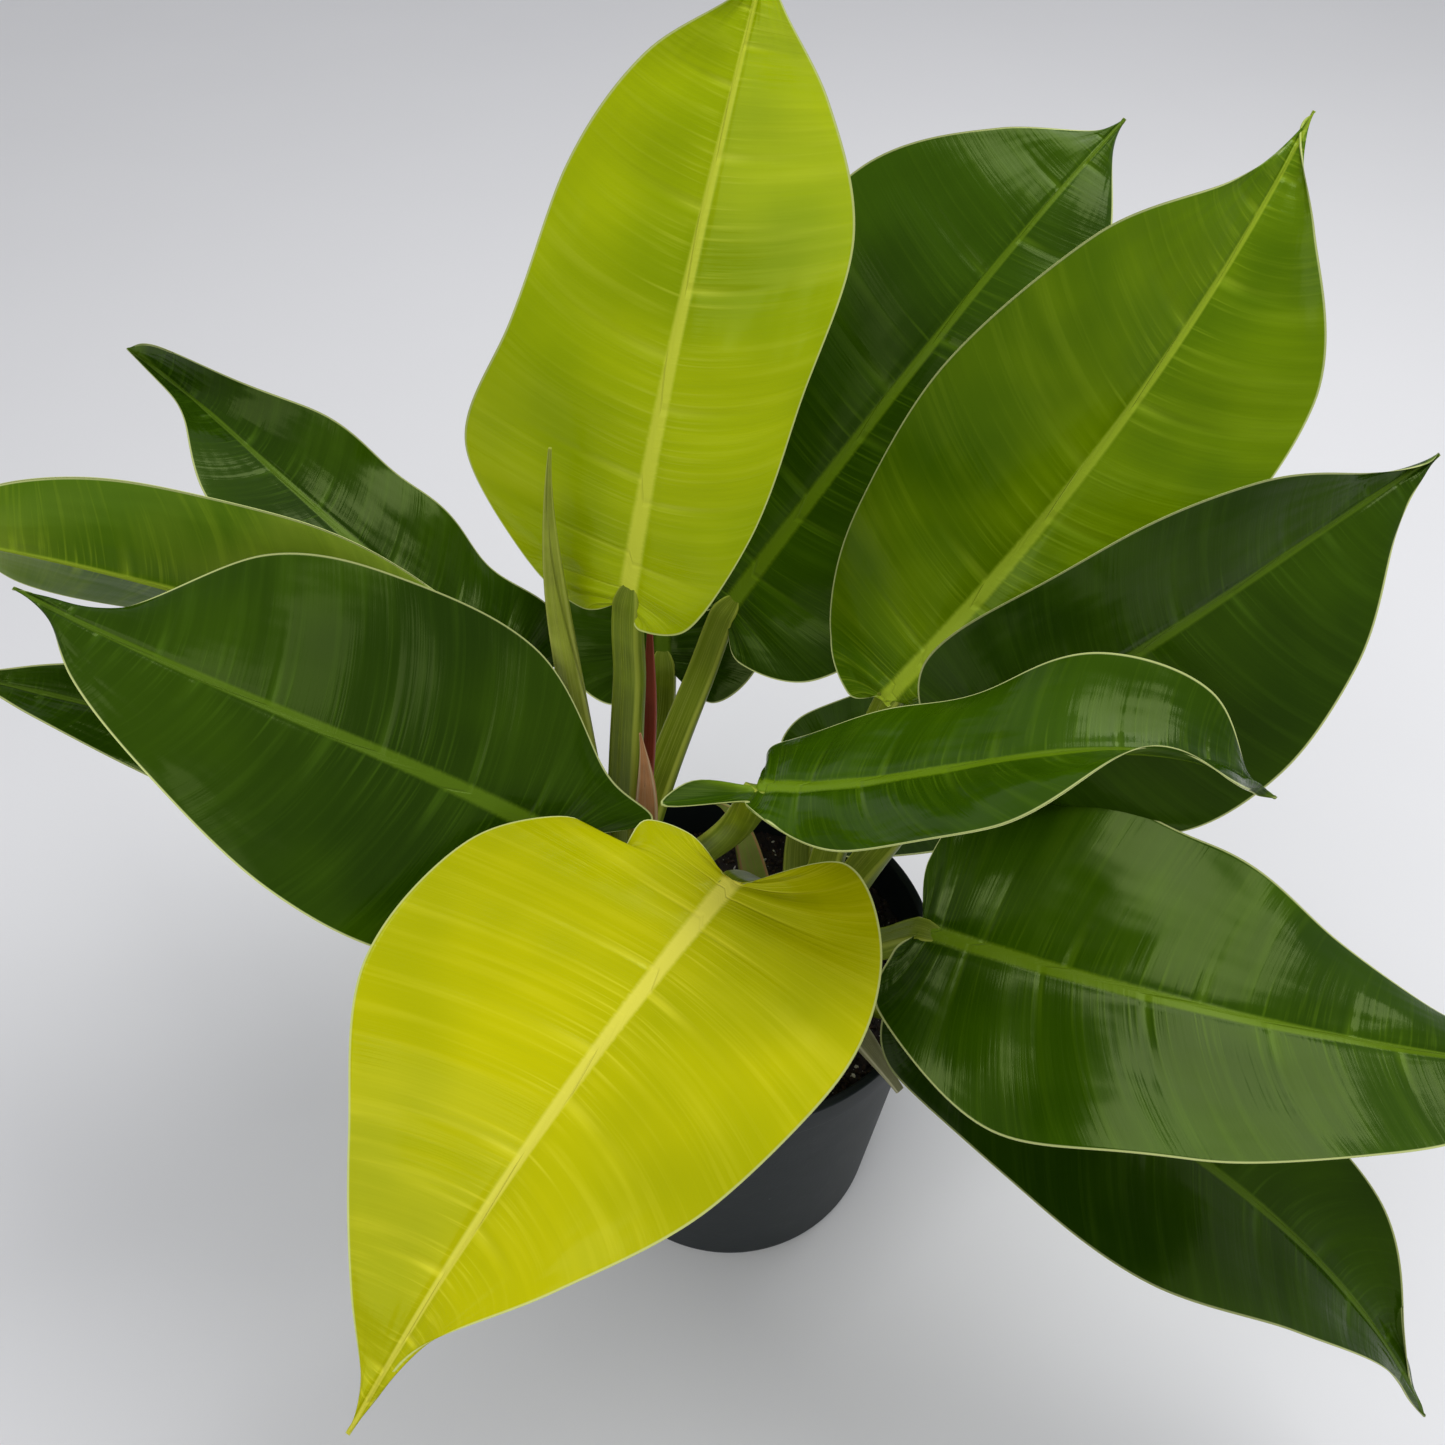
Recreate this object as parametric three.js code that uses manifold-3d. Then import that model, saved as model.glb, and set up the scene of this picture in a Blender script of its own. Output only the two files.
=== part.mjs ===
// Potted philodendron: two rosettes of heart-shaped leaves in a round nursery pot.
// Units are millimetres and +Z is up. The origin is on the ground at the centre of the pot.
import * as THREE from "three";
import { mergeVertices } from "three/addons/utils/BufferGeometryUtils.js";
import Module from "manifold-3d";

const wasm = await Module();
wasm.setup();

// ---- Driving dimensions ---------------------------------------------------------------------

const POT_HEIGHT = 135;
const POT_TOP_RADIUS = 75; // outside, at the rim
const POT_BASE_RADIUS = 60; // outside, at the ground
const POT_WALL = 1.8;
const POT_FLOOR = 2.4;
const POT_FOOT_WIDTH = 11; // the flat ring that stands on the ground
const POT_FOOT_RISE = 4; // how far the floor inside that ring is lifted
const POT_CENTRE_RADIUS = 18; // the flat disc in the middle of the floor, also on the ground
const RIM_BAND_HEIGHT = 14;
const RIM_BAND_PROUD = 1.4;
const DRAIN_HOLES = 8;
const DRAIN_RADIUS = 4.5;
const POT_SEGMENTS = 48;

const HEADSPACE = 15; // from the rim down to the potting mix
const MIX_MOUND = 4; // how much higher the mix is at the middle
const SEAT_GAP = 0.3; // between a piece and the one that holds it

const CROWN_RADIUS = 11;
const CROWN_BURIED = 22;
const CROWN_EXPOSED = 26;

const BLADE_THICKNESS = 0.9;
const RIB_DEPTH = 3.4; // the midrib's keel below the blade, at the petiole
const RIB_HALF_WIDTH = 3.2;
const PETIOLE_TOP_RADIUS = 3.4;
const PETIOLE_FOOT_RADIUS = 4.8;
const PETIOLE_DROP = PETIOLE_TOP_RADIUS + BLADE_THICKNESS + 2 * SEAT_GAP;
const STALK_SIDES = 8;
const STALK_STEPS = 8;
const BLADE_STATIONS = 12;

const MIX_LEVEL = POT_HEIGHT - HEADSPACE;

// ---- The plants -----------------------------------------------------------------------------
// Places are measured from the middle of the mix's surface. Each leaf gives its blade's base and
// tip, and then how the blade is bent. Left and right are as seen on its upper face, tip upward.
//   arch   rise of the midrib above the line from base to tip, near the base and near the tip
//   sway   sideways bow of the midrib, to the right
//   halves the flat blade's width left and right of the midrib
//   full   0 for a heart that narrows early, 1 for an oblong that stays broad
//   shoulders  how broad each half is beside the base, against the usual outline
//   roll   how far the right half leans down and the left half up, in degrees
//   fold   how far each half rises from the midrib, in degrees
//   cup    how far the margins lift above the fold (negative: they roll down)
//   wave   the margin's ripple: height, number along the blade and phase in turns
//   foot   how high on its crown the petiole starts
//   arrive the direction in which the petiole reaches the blade, where it isn't the usual one
// Roll and fold are given at the base, for the middle and at the tip.

const CROWNS = {
  left: { at: [-44, 8] },
  right: { at: [24, -8] },
};

const LEAVES = [
  {
    name: "tall_lime", crown: "left", colour: "lime", foot: 22,
    base: [-30, 20, 161], tip: [7, 80, 320], arch: [10, 8], sway: 3,
    halves: [54, 47], full: 0.8, shoulders: [1.08, 0.8],
    roll: [4, 20, 28], fold: [8, 9, 10], cup: 2, wave: [2, 2, 0.1],
  },
  {
    name: "front_yellow", crown: "right", colour: "yellow", foot: 18,
    base: [1, -48, 112], tip: [-100, -180, 50], arch: [12, 10], sway: 2,
    halves: [66, 70], full: 0.1, shoulders: [1, 0.85],
    roll: [2, -4, -12], fold: [4, 8, 16], cup: 0, wave: [3, 2, 0.2],
  },
  {
    name: "right_lime", crown: "right", colour: "fresh", foot: 21,
    base: [52, 31, 109], tip: [174, 122, 265], arch: [6, 8], sway: 7,
    halves: [57, 60], full: 0.8, shoulders: [0.7, 0.35],
    roll: [2, 84, 44], fold: [10, 5, 12], cup: 2, wave: [2, 2, 0.4],
  },
  {
    name: "back_right", crown: "left", colour: "green", foot: 19,
    base: [-12, 68, 108], tip: [132, 166, 249], arch: [10, 12], sway: 0,
    halves: [65, 56], full: 0.8, shoulders: [0.9, 0.7],
    roll: [30, 30, 30], fold: [6, 6, 6], cup: 0, wave: [2, 2, 0.0],
  },
  {
    name: "right_dark", crown: "right", colour: "dark", foot: 15,
    base: [79, 5, 116], tip: [209, 44, 197], arch: [8, 8], sway: 0,
    halves: [43, 64], full: 0.6, shoulders: [0.5, 0.5],
    roll: [60, 80, 52], fold: [10, 16, 18], cup: 0, wave: [2, 2, 0.3],
  },
  {
    name: "right_centre", crown: "left", colour: "green", foot: 14, arrive: [0.1, -0.4, 0.9],
    base: [5, -38, 143], tip: [150, -48, 148], arch: [6, 24], sway: 0,
    halves: [44, 42], full: 0.5, shoulders: [0.9, 1],
    roll: [-12, -20, -24], fold: [0, 10, 30], cup: -2, wave: [3, 2, 0.5],
  },
  {
    name: "lower_right", crown: "right", colour: "green", foot: 11,
    base: [59, -44, 80], tip: [254, -93, 62], arch: [8, 8], sway: 8,
    halves: [54, 57], full: 0.25, shoulders: [1, 1],
    roll: [6, 14, 18], fold: [4, 6, 8], cup: 0, wave: [3, 3, 0.2],
  },
  {
    name: "lowest_right", crown: "right", colour: "dark", foot: 6,
    base: [66, -41, 34], tip: [234, -140, -60], arch: [22, 28], sway: 0,
    halves: [52, 48], full: 0.4, shoulders: [1, 1],
    roll: [0, 0, 0], fold: [4, 5, 6], cup: 0, wave: [2, 2, 0.2],
  },
  {
    name: "left_dark", crown: "left", colour: "dark", foot: 15,
    base: [-46, -22, 95], tip: [-208, 12, 175], arch: [8, 8], sway: 0,
    halves: [60, 58], full: 0.4, shoulders: [1, 0.4],
    roll: [-52, -30, -20], fold: [4, 6, 8], cup: 0, wave: [3, 2, 0.2],
  },
  {
    name: "far_left_young", crown: "left", colour: "fresh", foot: 20,
    base: [-82, 44, 98], tip: [-250, 36, 178], arch: [8, 8], sway: 0,
    halves: [44, 36], full: 0.8, shoulders: [0.8, 0.8],
    roll: [75, 75, 75], fold: [20, 20, 20], cup: 2, wave: [1, 2, 0.2],
  },
  {
    name: "back_left", crown: "left", colour: "dark", foot: 13,
    base: [-77, 91, 69], tip: [-214, 158, 159], arch: [12, 16], sway: 0,
    halves: [44, 34], full: 0.5, shoulders: [1, 0.8],
    roll: [-5, -5, -5], fold: [4, 6, 8], cup: 0, wave: [3, 3, 0.2],
  },
  {
    name: "low_left", crown: "left", colour: "dark", foot: 8,
    base: [-84, 30, 42], tip: [-258, 30, 124], arch: [6, 6], sway: 0,
    halves: [32, 34], full: 0.4, shoulders: [1, 1],
    roll: [-10, -10, -10], fold: [6, 6, 6], cup: 0, wave: [2, 2, 0.2],
  },
  {
    name: "back_centre", crown: "left", colour: "dark", foot: 10,
    base: [-18, 70, 70], tip: [-30, 225, 136], arch: [16, 16], sway: 0,
    halves: [44, 44], full: 0.5, shoulders: [1, 1],
    roll: [0, 0, 0], fold: [4, 4, 4], cup: 0, wave: [2, 2, 0.2],
  },
  {
    name: "low_back_right", crown: "right", colour: "dark", foot: 7,
    base: [56, 44, 27], tip: [165, 80, 8], arch: [12, 14], sway: 0,
    halves: [36, 36], full: 0.4, shoulders: [1, 1],
    roll: [0, 0, 0], fold: [4, 4, 4], cup: 0, wave: [2, 2, 0.2],
  },
];

// The rolled new leaf and the papery sheaths that the leaves grew from: a path and its radii.
const SHOOTS = [
  {
    name: "rolled_leaf", crown: "left", colour: "shoot",
    path: [[-46, 12, 18], [-47, 18, 95], [-60, 21, 166], [-51, 17, 222]], radii: [5, 4.4, 3.6, 0.8],
  },
  {
    name: "tall_sheath", crown: "left", colour: "maroon",
    path: [[-40, 12, 18], [-35, 22, 70], [-31, 30, 110], [-29, 36, 138]], radii: [4, 3, 2.4, 1.6],
  },
  {
    name: "pointed_sheath", crown: "left", colour: "sheath",
    path: [[-38, 8, 16], [-30, 6, 60], [-27, 6, 90], [-30, 9, 117]], radii: [5, 4.5, 3.6, 0.8],
  },
  {
    name: "hooked_sheath", crown: "right", colour: "shoot",
    path: [[18, -8, 12], [6, -4, 50], [8, 4, 88], [-7, 8, 84]], radii: [6, 5, 3.2, 0.8],
  },
  {
    name: "low_sheath", crown: "right", colour: "sheath",
    path: [[28, -12, 6], [36, -30, 24], [44, -48, 28], [58, -62, 14]], radii: [4, 4, 3.4, 0.8],
  },
  {
    name: "rim_sheath", crown: "right", colour: "petiole",
    path: [[20, -14, 4], [22, -34, 14], [16, -52, 12], [-14, -60, 4]], radii: [5, 5, 4, 1],
  },
];

const COLOURS = {
  yellow: 0xc9c70c,
  lime: 0x93ab0e,
  fresh: 0x6f9410,
  green: 0x35610b,
  dark: 0x234a0c,
  petiole: 0x5f7a1c,
  shoot: 0x8f9a30,
  sheath: 0xb08660,
  maroon: 0x6e2a28,
  crown: 0x66702e,
  pot: 0x2e3a3c,
  mix: 0x2b211d,
};

// ---- Solids ---------------------------------------------------------------------------------

const material = (colour, roughness) =>
  new THREE.MeshStandardMaterial({ color: COLOURS[colour], roughness, metalness: 0 });

const part = new THREE.Group();
part.name = "potted_philodendron";

function addMesh(name, geometry, finish) {
  const mesh = new THREE.Mesh(geometry, finish);
  mesh.name = name;
  part.add(mesh);
  return mesh;
}

// A closed geometry from rings of points: neighbouring rings are joined and both ends are capped.
// Each four-sided face is split in two, and the first mirrored faces of a ring the other way.
function loft(rings, mirrored = 0) {
  const count = rings[0].length;
  const middles = [rings[0], rings.at(-1)].map((ring) =>
    ring.reduce((sum, point) => sum.add(point), new THREE.Vector3()).divideScalar(count),
  );
  const points = [...rings.flat(), ...middles];
  const first = points.length - 2;
  const last = points.length - 1;
  const faces = [];
  for (let i = 0; i < count; i++) {
    const next = (i + 1) % count;
    for (let ring = 0; ring < rings.length - 1; ring++) {
      const here = ring * count;
      const there = here + count;
      const across = i < mirrored ? there + i : there + next;
      const corner = i < mirrored ? here + next : here + i;
      faces.push(here + i, here + next, across);
      faces.push(corner, there + next, there + i);
    }
    const end = (rings.length - 1) * count;
    faces.push(first, next, i);
    faces.push(last, end + i, end + next);
  }
  const geometry = new THREE.BufferGeometry();
  geometry.setAttribute(
    "position",
    new THREE.Float32BufferAttribute(points.flatMap((point) => point.toArray()), 3),
  );
  geometry.setIndex(faces);
  return geometry;
}

function solidOf(geometry) {
  const bare = geometry.clone();
  bare.deleteAttribute("normal");
  bare.deleteAttribute("uv");
  const merged = mergeVertices(bare, 1e-4);
  return new wasm.Manifold(
    new wasm.Mesh({
      numProp: 3,
      vertProperties: merged.attributes.position.array,
      triVerts: new Uint32Array(merged.index.array),
    }),
  );
}

function geometryOf(solid) {
  const mesh = solid.getMesh();
  const geometry = new THREE.BufferGeometry();
  const places = new Float32Array(mesh.numVert * 3);
  for (let i = 0; i < mesh.numVert; i++) {
    const from = i * mesh.numProp;
    places.set(mesh.vertProperties.subarray(from, from + 3), i * 3);
  }
  geometry.setAttribute("position", new THREE.BufferAttribute(places, 3));
  geometry.setIndex(new THREE.BufferAttribute(mesh.triVerts, 1));
  return geometry;
}

// A solid of revolution about +Z from [radius, height] pairs.
function turned(profile, segments) {
  const outline = profile.map(([radius, height]) => new THREE.Vector2(radius, height));
  const geometry = new THREE.LatheGeometry(outline, segments);
  geometry.rotateX(Math.PI / 2);
  return geometry;
}

// ---- Pot ------------------------------------------------------------------------------------

const wallSlope = (POT_TOP_RADIUS - POT_BASE_RADIUS) / POT_HEIGHT;
const outsideAt = (height) => POT_BASE_RADIUS + wallSlope * height;
const insideAt = (height) => outsideAt(height) - POT_WALL;
const floorTop = POT_FOOT_RISE + POT_FLOOR;
const footInner = POT_BASE_RADIUS - POT_FOOT_WIDTH;

function pot() {
  const bandBottom = POT_HEIGHT - RIM_BAND_HEIGHT;
  const profile = [
    [0, 0],
    [POT_CENTRE_RADIUS, 0],
    [POT_CENTRE_RADIUS + 1, POT_FOOT_RISE],
    [footInner, POT_FOOT_RISE],
    [footInner + 1, 0],
    [POT_BASE_RADIUS - 1.5, 0],
    [POT_BASE_RADIUS, 2],
    [outsideAt(bandBottom - 1.5), bandBottom - 1.5],
    [outsideAt(bandBottom) + RIM_BAND_PROUD, bandBottom],
    [POT_TOP_RADIUS + RIM_BAND_PROUD, POT_HEIGHT - 1],
    [POT_TOP_RADIUS + RIM_BAND_PROUD - 1, POT_HEIGHT],
    [insideAt(POT_HEIGHT), POT_HEIGHT],
    [insideAt(floorTop), floorTop],
    [0, floorTop],
  ];
  let body = solidOf(turned(profile, POT_SEGMENTS));
  const drill = new THREE.CylinderGeometry(DRAIN_RADIUS, DRAIN_RADIUS, 3 * floorTop, 12);
  drill.rotateX(Math.PI / 2);
  for (let i = 0; i < DRAIN_HOLES; i++) {
    const turn = (2 * Math.PI * (i + 0.5)) / DRAIN_HOLES;
    const reach = footInner - DRAIN_RADIUS - 3;
    const hole = drill.clone().translate(reach * Math.cos(turn), reach * Math.sin(turn), 0);
    body = body.subtract(solidOf(hole));
  }
  return geometryOf(body);
}

// ---- Crowns ---------------------------------------------------------------------------------

function crownProfile(grow) {
  const radius = CROWN_RADIUS + grow;
  return [
    [0, -CROWN_BURIED - grow],
    [radius * 0.8, -CROWN_BURIED - grow],
    [radius, -CROWN_BURIED * 0.5],
    [radius, CROWN_EXPOSED * 0.6],
    [radius * 0.75, CROWN_EXPOSED * 0.9 + grow],
    [0, CROWN_EXPOSED + grow],
  ];
}

const crownGeometry = (crown, grow) =>
  turned(crownProfile(grow), 16).translate(crown.at[0], crown.at[1], MIX_LEVEL);

for (const crown of Object.values(CROWNS)) crown.clearance = solidOf(crownGeometry(crown, SEAT_GAP));

// ---- Potting mix ----------------------------------------------------------------------------

function pottingMix() {
  const bottom = floorTop + SEAT_GAP;
  const profile = [
    [0, bottom],
    [insideAt(bottom) - SEAT_GAP, bottom],
    [insideAt(MIX_LEVEL - MIX_MOUND) - SEAT_GAP, MIX_LEVEL - MIX_MOUND],
    [insideAt(MIX_LEVEL) * 0.7, MIX_LEVEL - MIX_MOUND * 0.3],
    [insideAt(MIX_LEVEL) * 0.35, MIX_LEVEL],
    [0, MIX_LEVEL],
  ];
  let body = solidOf(turned(profile, POT_SEGMENTS));
  for (const crown of Object.values(CROWNS)) body = body.subtract(crown.clearance);
  return geometryOf(body);
}

// ---- Leaves ---------------------------------------------------------------------------------

const UP = new THREE.Vector3(0, 0, 1);
const place = ([x, y, z]) => new THREE.Vector3(x, y, z + MIX_LEVEL);
const radians = THREE.MathUtils.degToRad;

// Half a flat blade's margin, as [x in half widths, y in blade lengths], for a heart and an oblong.
const BASAL_LOBE = 0.1;
const HEART = [
  [0.05, 0], [0.5, -BASAL_LOBE], [0.92, 0], [1, 0.2], [0.86, 0.45], [0.55, 0.68], [0.23, 0.86],
  [0.05, 0.96], [0.01, 1],
];
const OBLONG = [
  [0.05, 0], [0.38, -0.07], [0.78, 0.02], [0.97, 0.22], [1, 0.45], [0.85, 0.7], [0.5, 0.88],
  [0.1, 0.975], [0.01, 1],
];
const SHOULDER_REACH = [0, 1, 0.7, 0.2]; // how strongly each point follows the shoulder

function marginOf(full, shoulder) {
  const points = HEART.map(([x, y], i) => {
    const point = new THREE.Vector2(x, y).lerp(new THREE.Vector2(...OBLONG[i]), full);
    point.x *= shoulder ** (SHOULDER_REACH[i] ?? 0);
    return point;
  });
  return new THREE.SplineCurve(points);
}
const VEIN_LAG = 1.5; // how far a side vein runs forward on its way from the midrib

// A flat blade's point, from s along the margin and v from the midrib (0) to the margin (1).
function flatPoint(outline, s, v) {
  const margin = outline.getPoint(s);
  const root = THREE.MathUtils.smootherstep(s, 0, 1) ** VEIN_LAG;
  const vein = new THREE.QuadraticBezierCurve(
    new THREE.Vector2(0, root),
    new THREE.Vector2(margin.x * 0.55, root + 0.2 * (margin.y - root)),
    margin,
  );
  return vein.getPoint(v);
}

// The curved blade: its midrib, and where each flat point goes with the upward direction there.
function bladeForm(leaf) {
  const base = place(leaf.base);
  const tip = place(leaf.tip);
  const chord = tip.clone().sub(base);
  const along = chord.clone().normalize();
  const normal = UP.clone().addScaledVector(along, -UP.dot(along)).normalize();
  const bow = along.clone().cross(normal).multiplyScalar(leaf.sway * 1.33);
  const [near, far] = leaf.arch;
  const control = (share, rise) =>
    base.clone().addScaledVector(chord, share).addScaledVector(normal, rise * 1.33).add(bow);
  const midrib = new THREE.CubicBezierCurve3(base, control(1 / 3, near), control(2 / 3, far), tip);
  const length = midrib.getLength();
  const outlines = leaf.shoulders.map((shoulder) => marginOf(leaf.full, shoulder));
  const [rippleHeight, ripples, phase] = leaf.wave;

  function at(side, s, v) {
    const flat = flatPoint(outlines[side > 0 ? 1 : 0], s, v);
    const t = THREE.MathUtils.clamp(flat.y, 0, 1);
    const blend = ([atBase, middle, atTip]) =>
      radians((1 - t) ** 2 * atBase + 2 * t * (1 - t) * middle + t ** 2 * atTip);
    const tangent = midrib.getTangent(t);
    const up = normal.clone().addScaledVector(tangent, -normal.dot(tangent)).normalize();
    up.applyAxisAngle(tangent, blend(leaf.roll));
    const right = tangent.clone().cross(up);
    const across = flat.x * leaf.halves[side > 0 ? 1 : 0];
    const ripple = Math.sin(2 * Math.PI * (ripples * flat.y + phase + (side > 0 ? 0 : 0.37)));
    const fold = blend(leaf.fold);
    const lift = across * Math.sin(fold) + flat.x ** 2 * (leaf.cup + rippleHeight * ripple);
    const point = midrib.getPoint(t);
    point.addScaledVector(tangent, Math.min(flat.y, 0) * length);
    point.addScaledVector(right, side * across * Math.cos(fold));
    point.addScaledVector(up, lift);
    return { point, up };
  }
  return { outlines, base, start: midrib.getTangent(0), up: at(1, 0, 0).up, at };
}

function blade(leaf, form) {
  const rings = [];
  for (let i = 0; i < BLADE_STATIONS; i++) {
    const share = i / (BLADE_STATIONS - 1);
    const s = THREE.MathUtils.lerp(0.012, 0.985, share);
    const taper = 1 - share ** 1.5;
    const rib = RIB_HALF_WIDTH * (0.25 + 0.75 * taper);
    const line = (side) => {
      const which = side > 0 ? 1 : 0;
      const reach = form.outlines[which].getPoint(s).x * leaf.halves[which];
      const ribShare = Math.min(0.3, rib / reach);
      return [0, ribShare, 0.45, 0.75, 1].map((v) => ({ v, ...form.at(side, s, v) }));
    };
    const top = [...line(-1).reverse(), ...line(1).slice(1)];
    const under = top.map(({ v, point, up }) => {
      const keel = v === 0 ? RIB_DEPTH * (0.15 + 0.85 * taper) : 0;
      const thickness = BLADE_THICKNESS * (v === 1 ? 0.6 : 1);
      return point.clone().addScaledVector(up, -thickness - keel);
    });
    rings.push([...under.reverse(), ...top.map(({ point }) => point)]);
  }
  // The underside is split as the upper face is, so that they can't cross.
  return loft(rings, rings[0].length / 2 - 1);
}

// A tube along a curve, with its radius at each share of the curve.
function stalk(curve, radiusAt, grow) {
  const rings = [];
  for (let i = 0; i <= STALK_STEPS; i++) {
    const t = i / STALK_STEPS;
    const tangent = curve.getTangent(t);
    const side = tangent.clone().cross(UP).normalize();
    const top = side.clone().cross(tangent);
    const radius = radiusAt(t) + grow;
    const beyond = { 0: -grow, [STALK_STEPS]: grow }[i] ?? 0;
    const middle = curve.getPoint(t).addScaledVector(tangent, beyond);
    const ring = [];
    for (let k = 0; k < STALK_SIDES; k++) {
      const turn = (-2 * Math.PI * (k + 0.5)) / STALK_SIDES;
      const point = middle.clone().addScaledVector(side, radius * Math.cos(turn));
      ring.push(point.addScaledVector(top, radius * Math.sin(turn)));
    }
    rings.push(ring);
  }
  return solidOf(loft(rings));
}

// Stalks are added from the middle outward, and each gives way to the crown and to those before.
const taken = Object.values(CROWNS).map((crown) => crown.clearance);

function addStalk(name, curve, radiusAt, finish, trim = (solid) => solid) {
  const solid = trim(stalk(curve, radiusAt, 0));
  const cut = taken.reduce((left, other) => left.subtract(other), solid);
  const whole = cut.decompose().sort((a, b) => b.volume() - a.volume())[0];
  addMesh(name, geometryOf(whole), finish);
  taken.push(stalk(curve, radiusAt, SEAT_GAP));
}

function petiolePath(leaf, form) {
  const middle = place([...CROWNS[leaf.crown].at, leaf.foot]);
  const end = form.base.clone().addScaledVector(form.up, -PETIOLE_DROP);
  const outward = end.clone().sub(middle).setZ(0).normalize();
  const foot = middle.addScaledVector(outward, CROWN_RADIUS * 0.6);
  const span = end.clone().sub(foot);
  const first = foot.clone().addScaledVector(span, 0.2).addScaledVector(UP, span.z * 0.25);
  const usual = form.start.clone().addScaledVector(UP, 0.9);
  const arrive = leaf.arrive ? new THREE.Vector3(...leaf.arrive) : usual.normalize();
  const second = end.clone().addScaledVector(arrive, -0.35 * span.length());
  return new THREE.CubicBezierCurve3(foot, first, second, end);
}

// A petiole ends square on, just short of its blade's base and clear of the basal lobes.
function trimAtBlade(solid, form, bladeSolid) {
  const stop = form.base.dot(form.start) - SEAT_GAP;
  const cut = solid.trimByPlane(form.start.clone().negate().toArray(), -stop);
  const lobes = bladeSolid.translate(form.up.clone().multiplyScalar(-SEAT_GAP).toArray());
  return cut.subtract(bladeSolid).subtract(lobes);
}

const petioleRadius = (t) =>
  THREE.MathUtils.lerp(PETIOLE_FOOT_RADIUS, PETIOLE_TOP_RADIUS, t ** 0.7);

// ---- Assembly -------------------------------------------------------------------------------

addMesh("pot", pot(), material("pot", 0.55));
addMesh("potting_mix", pottingMix(), material("mix", 0.95));
for (const [side, crown] of Object.entries(CROWNS)) {
  addMesh(`${side}_crown`, crownGeometry(crown, 0), material("crown", 0.7));
}
for (const shoot of SHOOTS) {
  const path = new THREE.CubicBezierCurve3(...shoot.path.map(place));
  const radii = new THREE.SplineCurve(shoot.radii.map((radius, i) => new THREE.Vector2(i, radius)));
  addStalk(shoot.name, path, (t) => radii.getPoint(t).y, material(shoot.colour, 0.6));
}
for (const leaf of LEAVES) {
  const form = bladeForm(leaf);
  const finish = material("petiole", 0.5);
  const bladeGeometry = blade(leaf, form);
  const trim = (solid) => trimAtBlade(solid, form, solidOf(bladeGeometry));
  addStalk(`${leaf.name}_petiole`, petiolePath(leaf, form), petioleRadius, finish, trim);
  addMesh(`${leaf.name}_blade`, bladeGeometry, material(leaf.colour, 0.4));
}

export default part;
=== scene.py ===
"""Potted philodendron: fine leaves, stalks, shoots, pot and potting mix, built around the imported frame.

Everything is in metres in the frame's own axes, with +Z up and the pot's axis through the origin.
"""

import math

import bpy
import numpy as np
from bpy.props import FloatProperty, FloatVectorProperty, IntProperty, PointerProperty
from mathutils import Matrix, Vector, noise


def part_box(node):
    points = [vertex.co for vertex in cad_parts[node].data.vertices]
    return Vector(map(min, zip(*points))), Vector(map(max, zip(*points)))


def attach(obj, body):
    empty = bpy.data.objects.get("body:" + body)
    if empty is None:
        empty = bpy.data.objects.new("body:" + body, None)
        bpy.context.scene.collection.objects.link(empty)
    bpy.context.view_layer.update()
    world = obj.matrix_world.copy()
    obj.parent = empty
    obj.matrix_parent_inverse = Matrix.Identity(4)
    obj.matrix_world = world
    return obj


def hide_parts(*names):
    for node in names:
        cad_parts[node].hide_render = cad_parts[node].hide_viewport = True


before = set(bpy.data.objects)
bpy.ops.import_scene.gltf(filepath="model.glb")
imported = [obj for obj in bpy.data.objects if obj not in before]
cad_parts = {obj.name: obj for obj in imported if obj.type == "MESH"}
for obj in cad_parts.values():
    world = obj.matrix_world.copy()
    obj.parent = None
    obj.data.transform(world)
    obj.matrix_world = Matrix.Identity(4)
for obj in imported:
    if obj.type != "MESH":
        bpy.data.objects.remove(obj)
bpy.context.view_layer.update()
POT_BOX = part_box("pot")
MIX_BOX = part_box("potting_mix")

bl_info = {
    "name": "Potted Philodendron",
    "version": (1, 0, 0),
    "blender": (4, 5, 0),
    "location": "3D View > Sidebar > Plant",
    "description": "Builds a clump of glossy philodendron leaves in a nursery pot",
    "category": "Add Mesh",
}

MM = 0.001
UP = np.array([0.0, 0.0, 1.0])
MIX_LEVEL = MIX_BOX[1].z

# ---- The plants -----------------------------------------------------------------------------
# Places are in millimetres from the middle of the mix's surface. Each leaf gives its blade's base
# and tip, and then how the blade is bent. Left and right are as seen on its upper face, tip upward.
#   arch   rise of the midrib above the line from base to tip, near the base and near the tip
#   sway   sideways bow of the midrib, to the right
#   halves the flat blade's width left and right of the midrib
#   full   0 for a heart that narrows early, 1 for an oblong that stays broad
#   shoulders  how broad each half is beside the base, against the usual outline
#   roll   how far the right half leans down and the left half up, in degrees
#   fold   how far each half rises from the midrib, in degrees
#   cup    how far the margins lift above the fold (negative: they roll down)
#   wave   the margin's ripple: height, number along the blade and phase in turns
#   foot   how high on its crown the petiole starts
#   arrive the direction in which the petiole reaches the blade, where it isn't the usual one
#   joint  1 where the petiole runs into the top of the midrib, less where it stays beneath
#   lobes  how far the lobes beside the base reach back, left and right, against the usual outline
#   drip   how far the narrow tip is drawn out ahead, upward and to the right
#   push   dents and bulges in a margin: which half, where and how far along it they reach as
#          shares, and how far the margin goes ahead, outward and up there
#   wide, lift  how far the margins stand out and up from the usual outline, left and right, in
#          millimetres at nine even steps from base to tip
# Roll and fold are given at the base, for the middle and at the tip.
# Wide, lift and lobes were worked out by a separate fitting program and not chosen by hand. So were
# small changes to the base, tip, arch and sway of most leaves that have them.

CROWNS = {"left_crown": (-44, 8), "right_crown": (24, -8)}

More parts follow.
